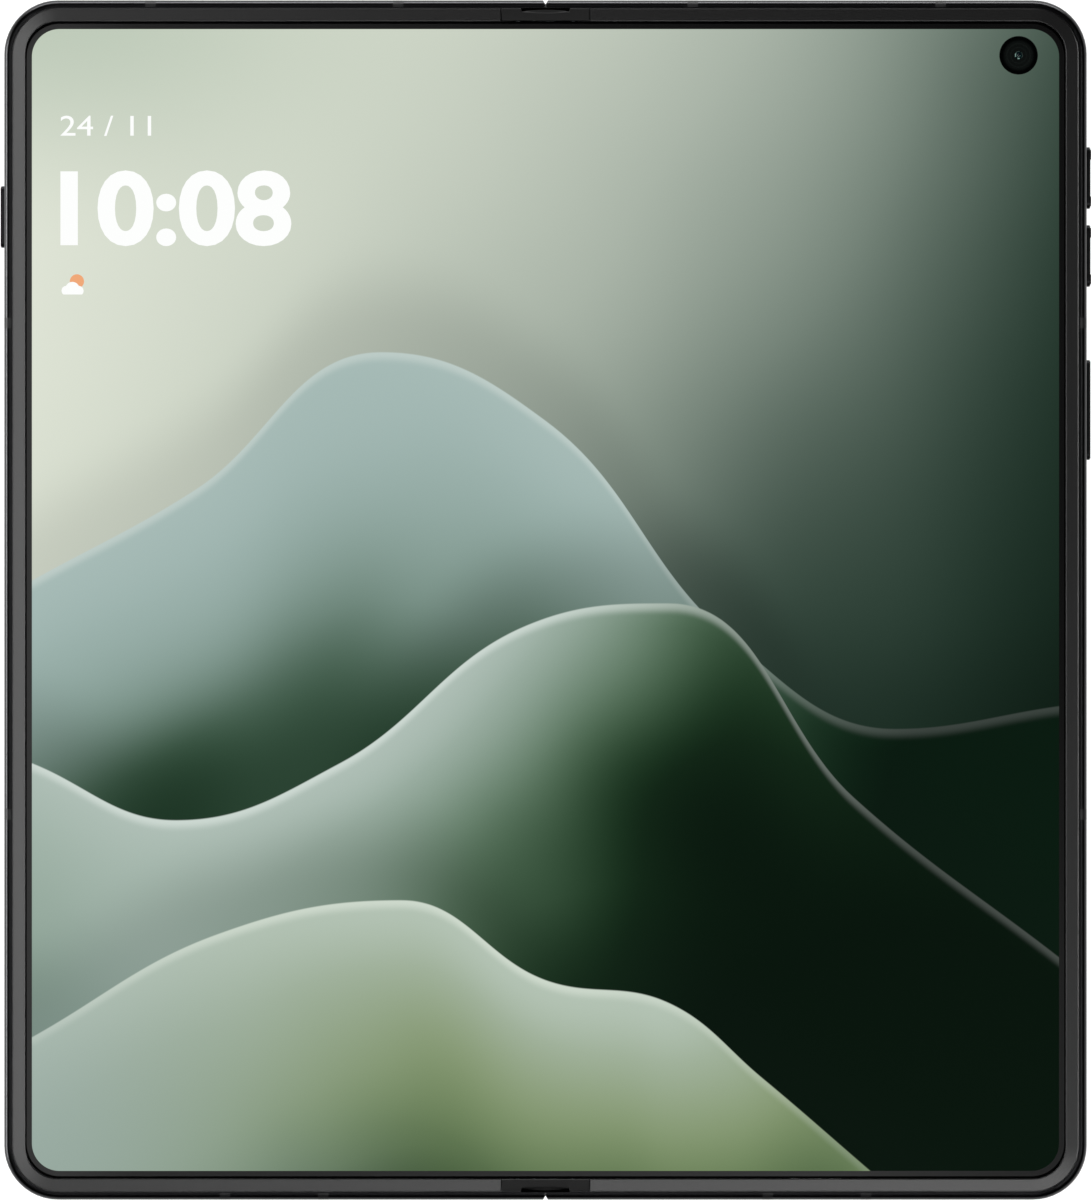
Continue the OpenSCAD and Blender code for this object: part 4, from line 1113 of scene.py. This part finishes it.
@dataclass
class EndCaps:
    """Rubber caps over the hinge's ends, each made of two halves that meet at the fold."""

    body: Body
    play: float = 0.05
    outer_play: float = 0.11
    foot_play: float = 0.02
    end_gap: float = 0.12
    end_ease: float = 0.06
    top: float = 6.74
    dish_half: float = 3.27
    dish: float = 0.42
    bow: float = 0.14
    step: float = 0.05
    step_lead: float = 0.12
    block_lead: float = 0.4
    edge: float = 0.07
    lip: float = 0.26
    lip_top: float = 6.6
    lip_low: float = 6.48
    dish_steps: int = 15
    block_steps: int = 8

    def build(self, side: Side, end: End) -> Any:
        """Builds one half of one cap.

        The section is a block with eased edges, the outer one over two and a half
        edges by 1.6. Its outer face steps in between plus and minus dish_half, and
        bows a little more towards the fold. A lower lip bows the other way out of
        that step.

        Args:
            side: which half.
            end: which end of the fold.

        Returns:
            The piece.
        """
        b, e, half = self.body, self.edge, self.dish_half
        far = b.cap_half - self.end_gap
        x = np.concatenate(
            [
                np.linspace(0.0, half - self.step_lead, self.dish_steps),
                [half, half + self.step],
                np.linspace(half + self.block_lead, far - self.end_ease, self.block_steps),
                [far],
            ]
        )
        inner = np.full(x.shape, b.half_h - b.rim_w - b.bezel_w + self.play)
        whole = np.full(x.shape, b.half_h - b.rim_w - self.outer_play)
        dished = x < half - self.step
        share = 1 - (x / half) ** 2
        outer = np.where(dished, whole - self.dish - self.bow * share, whole)
        lip = np.where(dished, whole - self.dish + self.lip * share, whole)
        top = np.where(x > far - self.end_ease / 2, self.top - e, self.top)
        low = np.full(x.shape, b.seat + self.foot_play)
        points = (
            (inner, low),
            (inner, top - e),
            (inner + e, top),
            (outer - 2.5 * e, top),
            (outer - e, top - 0.35 * e),
            (outer, top - 1.6 * e),
            (outer, np.full(x.shape, self.lip_top)),
            (lip, np.full(x.shape, self.lip_low)),
            (lip, low),
            ((inner + outer) / 2, low),
        )
        rings = along_x(x, np.array(points).transpose(2, 0, 1)) * (side.sign, end.sign, 1)
        obj = loft(f"{side.label}_{end.label}_end_cap", rings)
        dress(obj, CAP_RUBBER)
        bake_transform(obj)
        if side is Side.RIGHT:
            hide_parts("hinge_end_caps")
        return obj


@dataclass
class SlotShadeSheet:
    """A near-black sheet in the slot between each end cap and the rim, in halves, as painted shade
    that stands in for the slot's shadow.
    """

    body: Body
    reach: float = 3.25
    inner: float = 78.2
    outer: float = 78.97
    low: float = 6.02
    high: float = 6.2
    steps: int = 14

    def build(self, side: Side, end: End) -> Any:
        """Builds one half of one shade sheet, a plain bar along X.

        Args:
            side: which half.
            end: which end of the fold.

        Returns:
            The piece.
        """
        x = np.linspace(0.0, self.reach, self.steps)
        rings = along_x(x, block(self.inner, self.outer, self.low, self.high))
        rings = rings * (side.sign, end.sign, 1)
        obj = loft(f"{side.label}_{end.label}_slot_shade_sheet", rings)
        # Painted shade: a near-black sheet in place of the slot's shadow.
        dress(obj, SHADE_SHEET)
        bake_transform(obj)
        return obj


@dataclass
class FoldShadeFins:
    """Near-black fins on the hinge in the hair gap between the two rims, as painted shade that
    stands in for the shadow in that gap.
    """

    body: Body
    half_t: float = 0.046
    inner: float = 78.3
    outer_low: float = 0.52
    bottom: float = 3.2
    top_gap: float = 0.05

    def build(self, end: End) -> Any:
        """Builds one fin, a thin upright plate in the middle plane of the hinge.

        Args:
            end: which end of the fold.

        Returns:
            The piece.
        """
        y0, y1 = self.inner, self.body.half_h - self.outer_low
        t = self.half_t
        rings = np.empty((2, 4, 3))
        rings[..., :2] = np.array([[-t, y0], [t, y0], [t, y1], [-t, y1]]) * (1, end.sign)
        rings[0, :, 2], rings[1, :, 2] = self.bottom, self.body.seat - self.top_gap
        obj = loft(f"{end.label}_fold_shade_fin", rings)
        # Painted shade: the fin is near black in place of the gap's shadow.
        dress(obj, SHADE_SHEET)
        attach(obj, "spine")
        return obj


@dataclass
class HingeFlexes:
    """Flat cables that cross the fold under the hinge cover, in halves."""

    low_edges: Pair = (24.0, 31.0)
    width: float = 5.0
    level: float = 4.93
    thick: float = 0.12
    reach: float = 14.0
    held: float = 2.6
    loose: float = 0.0
    steps: int = 29

    def build(self, side: Side, index: int) -> Any:
        """Builds half of one cable, from the fold to its socket.

        Args:
            side: which half of the phone it runs into.
            index: which cable, from the bottom.

        Returns:
            The piece.
        """
        x = np.linspace(0.0, self.reach, self.steps) * side.sign
        y0, z0, z1 = self.low_edges[index], self.level, self.level + self.thick
        rings = along_x(x, block(y0, y0 + self.width, z0, z1))
        obj = loft(f"{side.label}_{('lower', 'upper')[index]}_hinge_flex", rings)
        dress(obj, POLYIMIDE)
        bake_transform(obj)
        if side is Side.RIGHT:
            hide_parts("hinge_flex")
        return obj


@dataclass
class ClockFace:
    """Plain digits and a small weather sign that the lit screen shows at its upper left.

    A box is the lowest X and Y and then the highest. A level is a height above the
    screen, in steps of lift.
    """

    body: Body
    lift: float = 0.012
    thick: float = 0.01
    clock: str = "10:08"
    clock_box: Box = (-64.7, 47.2, -33.9, 57.3)
    clock_weight: float = 0.028
    date: str = "24 / 11"
    date_box: Box = (-64.7, 61.9, -52.6, 64.6)
    sun: Pair = (-62.5, 42.5)
    sun_r: float = 0.95
    cloud: Pair = (-63.1, 40.75)
    cloud_half: float = 1.5
    cloud_level: float = 2.2
    cloud_span: Pair = (-0.97, 1.0)
    puffs: Tuple[Vec, ...] = ((-0.55, 0.34, 0.42), (0.0, 0.5, 0.62), (0.56, 0.32, 0.44))
    sun_steps: int = 40
    cloud_steps: int = 60

    def write(self, name: str, words: str, box: Box, weight: float, finish: Surface) -> Any:
        """Writes digits into a box on the screen.

        Args:
            name: the piece's name.
            words: what it says.
            box: where it goes.
            weight: how far the strokes are thickened, as a share of the letters' size.
            finish: its finish.

        Returns:
            The piece, a mesh in place.
        """
        curve = bpy.data.curves.new(name, "FONT")
        curve.body = words
        curve.size = 1.0
        curve.offset = weight
        curve.resolution_u = 6
        holder = bpy.data.objects.new(name + "_curve", curve)
        bpy.context.scene.collection.objects.link(holder)
        bpy.context.view_layer.update()
        graph = bpy.context.evaluated_depsgraph_get()
        flat = bpy.data.meshes.new_from_object(holder.evaluated_get(graph))
        bpy.data.objects.remove(holder)
        points = values_of(flat.vertices, "co", 3)[:, :2]
        low, high = points.min(0), points.max(0)
        place = (points - low) / (high - low) * np.subtract(box[2:], box[:2]) + box[:2]
        return self._sign(name, place, [tuple(p.vertices) for p in flat.polygons], 1.0, finish)

    def _sign(self, name: str, place: np.ndarray, faces: Any, level: float, finish: Surface) -> Any:
        """Makes a flat sign and gives it its thickness, finish and body.

        Args:
            name: the piece's name.
            place: X and Y of its points.
            faces: vertex numbers of each face.
            level: its height.
            finish: its finish.

        Returns:
            The piece.
        """
        z = np.full(len(place), self.body.screen_top + self.lift * level)
        obj = make_mesh(name, np.column_stack([place, z]), faces, False)
        wall = obj.modifiers.new("thickness", "SOLIDIFY")
        wall.thickness = self.thick * MM
        wall.offset = 1.0
        dress(obj, finish)
        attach(obj, Side.LEFT.body)
        return obj

    def draw_sun(self, finish: Surface) -> Any:
        """A flat round sign: a circle of radius sun_r.

        Args:
            finish: its finish.

        Returns:
            The piece.
        """
        angle = np.linspace(0, 2 * np.pi, self.sun_steps, endpoint=False)
        rim = np.stack([np.cos(angle), np.sin(angle)], -1) * self.sun_r + self.sun
        return self._sign("weather_sun", rim, [tuple(range(len(rim)))], 1.0, finish)

    def draw_cloud(self, finish: Surface) -> Any:
        """A flat cloud: at each X, from the lowest to the highest of three circles.

        A puff is its circle's X, height and radius, as shares of the cloud's half
        length. The base is straight, at height zero, and X outside a circle leaves
        it beyond the others.

        Args:
            finish: its finish.

        Returns:
            The piece.
        """
        x, beyond = np.linspace(*self.cloud_span, self.cloud_steps), 9.0
        high, low = np.full(x.shape, -beyond), np.full(x.shape, beyond)
        for at, base, radius in self.puffs:
            chord = np.sqrt(np.clip(radius**2 - (x - at) ** 2, 0, None))
            off = beyond * (np.abs(x - at) >= radius)
            high = np.maximum(high, base + chord - off)
            low = np.minimum(low, base - chord + off)
        low = np.minimum(np.clip(low, 0, None), high)
        grid = np.stack([np.stack([x, low], -1), np.stack([x, high], -1)], 1).reshape(-1, 2)
        place, faces = grid * self.cloud_half + self.cloud, grid_faces(len(x), 2, False)
        return self._sign("weather_cloud", place, faces, self.cloud_level, finish)

    def build(self) -> List[Any]:
        """Builds the clock, the date's numbers and the weather sign.

        Returns:
            The pieces.
        """
        white = Glow("lit_white", "#fdfefd")
        return [
            self.write("clock_digits", self.clock, self.clock_box, self.clock_weight, white),
            self.write("date_digits", self.date, self.date_box, 0.0, white),
            self.draw_sun(Glow("lit_orange", "#f0a878")),
            self.draw_cloud(white),
        ]


@dataclass
class CameraGlass:
    """Lens windows: a printed ring, a dark well and a domed, coated front element."""

    rear: Tuple[Tuple[str, Pair, float], ...] = (
        ("main", (43.1, 59.2), 4.7),
        ("ultrawide", (43.1, 44.8), 4.7),
        ("tele", (56.9, 52.0), 3.9),
    )
    dome_share: float = 0.42
    dome_rise: float = 0.42
    well_share: float = 0.52
    well_taper: float = 0.95
    well_floor: float = 0.95
    well_top: float = 0.5
    well_ease: Pair = (0.12, 0.04)
    glass_start: float = 0.3
    glass: float = 0.1
    ease: Pair = (0.12, 0.1)
    inner_face: float = 1.2
    punch: Pair = (63.1, 72.65)
    punch_r: float = 2.5
    punch_ring_highlights: Pair = (0.42, 0.62)
    punch_profile: Tuple[Pair, ...] = (
        (0.5, 6.25), (0.54, 6.382), (2.42, 6.382), (2.47, 6.36), (2.47, 6.1), (0.0, 6.1),
    )
    pupil: float = 0.5
    pupil_dome: Vec = (0.4, 6.17, 0.2)
    cover: Pair = (-36.1, 72.0)
    cover_r: float = 1.9
    cover_pupil: float = 0.8

    def dress_cover(self, nodes: Dict[str, Any]) -> None:
        """Gives the outer cover glass its black print and the rings of its own camera.

        Args:
            nodes: the CAD nodes.
        """
        # The ring at 0.7 of the radius is a painted highlight.
        name, rings, cast = "cover_glass_over_lens", (0.7,), "#ffffff"
        pupil, rim = self.cover_pupil, self.cover_r
        dress(nodes["cover_glass"], LensCoating(name, self.cover, pupil, rim, rings, cast=cast))

    def window(self, name: str, centre: Pair, profile: Sequence[Pair], finish: Surface) -> Any:
        """Turns one window and puts it in place of the CAD ones.

        Args:
            name: the piece's name.
            centre: X and Y of its axis.
            profile: radius and height pairs of its section.
            finish: its finish.

        Returns:
            The piece.
        """
        obj = turned(name, centre, profile)
        dress(obj, finish)
        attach(obj, Side.RIGHT.body)
        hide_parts("camera_glasses")
        return obj

    def rear_window(self, name: str, centre: Pair, r: float) -> Any:
        """Builds one rear window: flat printed glass round a well with a dome in it.

        Args:
            name: which camera.
            centre: X and Y of its axis.
            r: the window's radius.

        Returns:
            The piece.
        """
        well, dome = self.well_share * r, self.dome_share * r
        floor, out = self.well_floor, self.glass
        arc = np.linspace(0, np.pi / 2, 10)
        profile = [(dome * math.sin(a), floor - self.dome_rise * math.cos(a)) for a in arc]
        profile += [(well * self.well_taper, floor), (well, self.well_top)]
        profile += [(well + self.well_ease[0], out + self.well_ease[1])]
        profile += [(well + self.glass_start, out), (r - self.ease[0], out)]
        profile += [(r, out + self.ease[1]), (r, self.inner_face), (0.0, self.inner_face)]
        coating = LensCoating(f"coated_{name}_lens", centre, dome, r)
        return self.window(f"{name}_lens_window", centre, profile, coating)

    def inner_window(self) -> Any:
        """Builds the screen camera: a flush black disc with rings round a small pupil.

        Returns:
            The piece.
        """
        arc = np.radians(np.linspace(0, 60, 6))
        reach, foot, rise = self.pupil_dome
        profile = [(reach * math.sin(a), foot + rise * math.cos(a)) for a in arc]
        profile += self.punch_profile
        # The rings are painted highlights.
        name, rings, ink = "coated_screen_lens", self.punch_ring_highlights, "#121514"
        coating = LensCoating(name, self.punch, self.pupil, self.punch_r, rings, ink)
        return self.window("screen_camera_window", self.punch, profile, coating)

    def build(self) -> List[Any]:
        """Builds every window.

        Returns:
            The pieces.
        """
        made = [self.rear_window(*spec) for spec in self.rear]
        return made + [self.inner_window()]


# ---------------------------------------------------------------- studio


@dataclass(frozen=True)
class Lamp:
    """A soft area light: its size is first the level side and then the other."""

    name: str
    place: Vec
    size: Pair
    watts: float
    aim: Vec = (0.0, 0.0, 0.0)

    def build(self) -> None:
        """Hangs the light at its place, facing its aim."""
        data = bpy.data.lights.new(self.name, "AREA")
        data.shape = "RECTANGLE"
        data.size, data.size_y = self.size[0] * MM, self.size[1] * MM
        data.energy = self.watts
        obj = bpy.data.objects.new(self.name, data)
        obj.location = Vector(self.place) * MM
        away = Vector(self.place) - Vector(self.aim)
        obj.rotation_euler = away.to_track_quat("Z", "Y").to_euler()
        bpy.context.scene.collection.objects.link(obj)


@dataclass
class Studio:
    """Pale floor, soft lights and the camera square above the screen."""

    frame_high: float = 160.08
    plane: float = 5.5
    distance: float = 6000.0
    sensor: float = 36.0
    clip: Pair = (50.0, 20000.0)
    floor_half: float = 3000.0
    surround: Stops = ((0.0, "#e4e4e4"), (0.07, "#3c3c3c"), (0.4, "#1c1c1c"), (1.0, "#0a0a0a"))
    surround_strength: float = 0.9
    lamps: Tuple[Lamp, ...] = (
        Lamp("left_panel", (-228, 0, 1000), (520, 140), 1.25),
        Lamp("front_panel", (190, -235, 1000), (420, 140), 1.15, (190, 0, 0)),
        Lamp("back_panel", (-230, 235, 1000), (280, 140), 0.19),
        Lamp("left_strip", (-625, 0, 1000), (520, 90), 0.9),
        Lamp("right_strip", (625, 0, 1000), (520, 90), 2.0),
        Lamp("front_strip", (0, -625, 1000), (520, 90), 0.7),
        Lamp("back_strip", (-100, 625, 1000), (420, 90), 0.5),
        Lamp("far_softbox", (0, 900, 150), (1200, 280), 8.5),
        Lamp("low_left_panel", (-700, 0, 110), (500, 200), 3.6),
    )

    def floor(self) -> None:
        """Makes the pale floor, flat at the level of the camera rings.
        """
        half = self.floor_half
        points = np.array([[-half, -half, 0], [half, -half, 0], [half, half, 0], [-half, half, 0]])
        obj = make_mesh("floor", points, [(0, 1, 2, 3)], False)
        dress(obj, Glow("pale_paper_floor", "#ffffff", "#8c8c8c", 0.9))

    def sky(self) -> None:
        """Sets a soft surround: dark straight above, bright from the horizon down."""
        world = bpy.data.worlds.new("studio_surround")
        bpy.context.scene.world = world
        world.use_nodes = True
        world.node_tree.nodes.clear()
        add = partial(add_node, world.node_tree)
        axes = add("SeparateXYZ", {0: add("TexCoord").outputs["Generated"]})
        ramp = add("ValToRGB", {"Fac": axes.outputs["Z"]}, self.surround)
        light = add("Background", {"Color": ramp, "Strength": self.surround_strength})
        add("OutputWorld", {"Surface": light})

    def camera(self) -> None:
        """Places the camera straight above, so that the frame's height is frame_high."""
        data = bpy.data.cameras.new("camera")
        data.type = "PERSP"
        data.sensor_width = self.sensor
        data.lens = self.sensor * self.distance / self.frame_high
        data.clip_start, data.clip_end = self.clip[0] * MM, self.clip[1] * MM
        obj = bpy.data.objects.new("camera", data)
        obj.location = (0.0, 0.0, (self.plane + self.distance) * MM)
        bpy.context.scene.collection.objects.link(obj)
        bpy.context.scene.camera = obj

    def build(self) -> None:
        """Builds the whole studio.
        """
        self.camera()
        self.floor()
        self.sky()
        for lamp in self.lamps:
            lamp.build()
        bpy.context.scene.view_settings.view_transform = "Standard"


def dress_nodes(nodes: Dict[str, Any]) -> None:
    """Gives each CAD node its finish.

    Args:
        nodes: the CAD nodes.
    """
    for finish, names in NODES_IN:
        for name in names:
            dress(nodes[name], finish)
            LOG.info("dressed %s in %s", name, finish.name)


def main() -> None:
    """Builds the studio and then each sub-assembly, in order."""
    logging.basicConfig(level=logging.INFO, format="%(name)s: %(message)s")
    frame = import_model()
    nodes = frame["nodes"]
    Studio().build()
    body = Body()
    dress_nodes(nodes)
    screen, cameras = Screen(body), CameraGlass()
    screen.dress_flats(nodes)
    cameras.dress_cover(nodes)
    made: List[Any] = []
    for side in Side:
        made.append(screen.strip(side))
        made.append(Bezel(body).build(side))
        for end in End:
            made.append(EndCaps(body).build(side, end))
            made.append(SlotShadeSheet(body).build(side, end))
        made += [HingeFlexes().build(side, index) for index in (0, 1)]
    made += [FoldShadeFins(body).build(end) for end in End]
    made += ClockFace(body).build()
    made += cameras.build()
    for piece in made:
        LOG.info("built %s, %d faces", piece.name, len(piece.data.polygons))


if __name__ == "__main__":
    main()
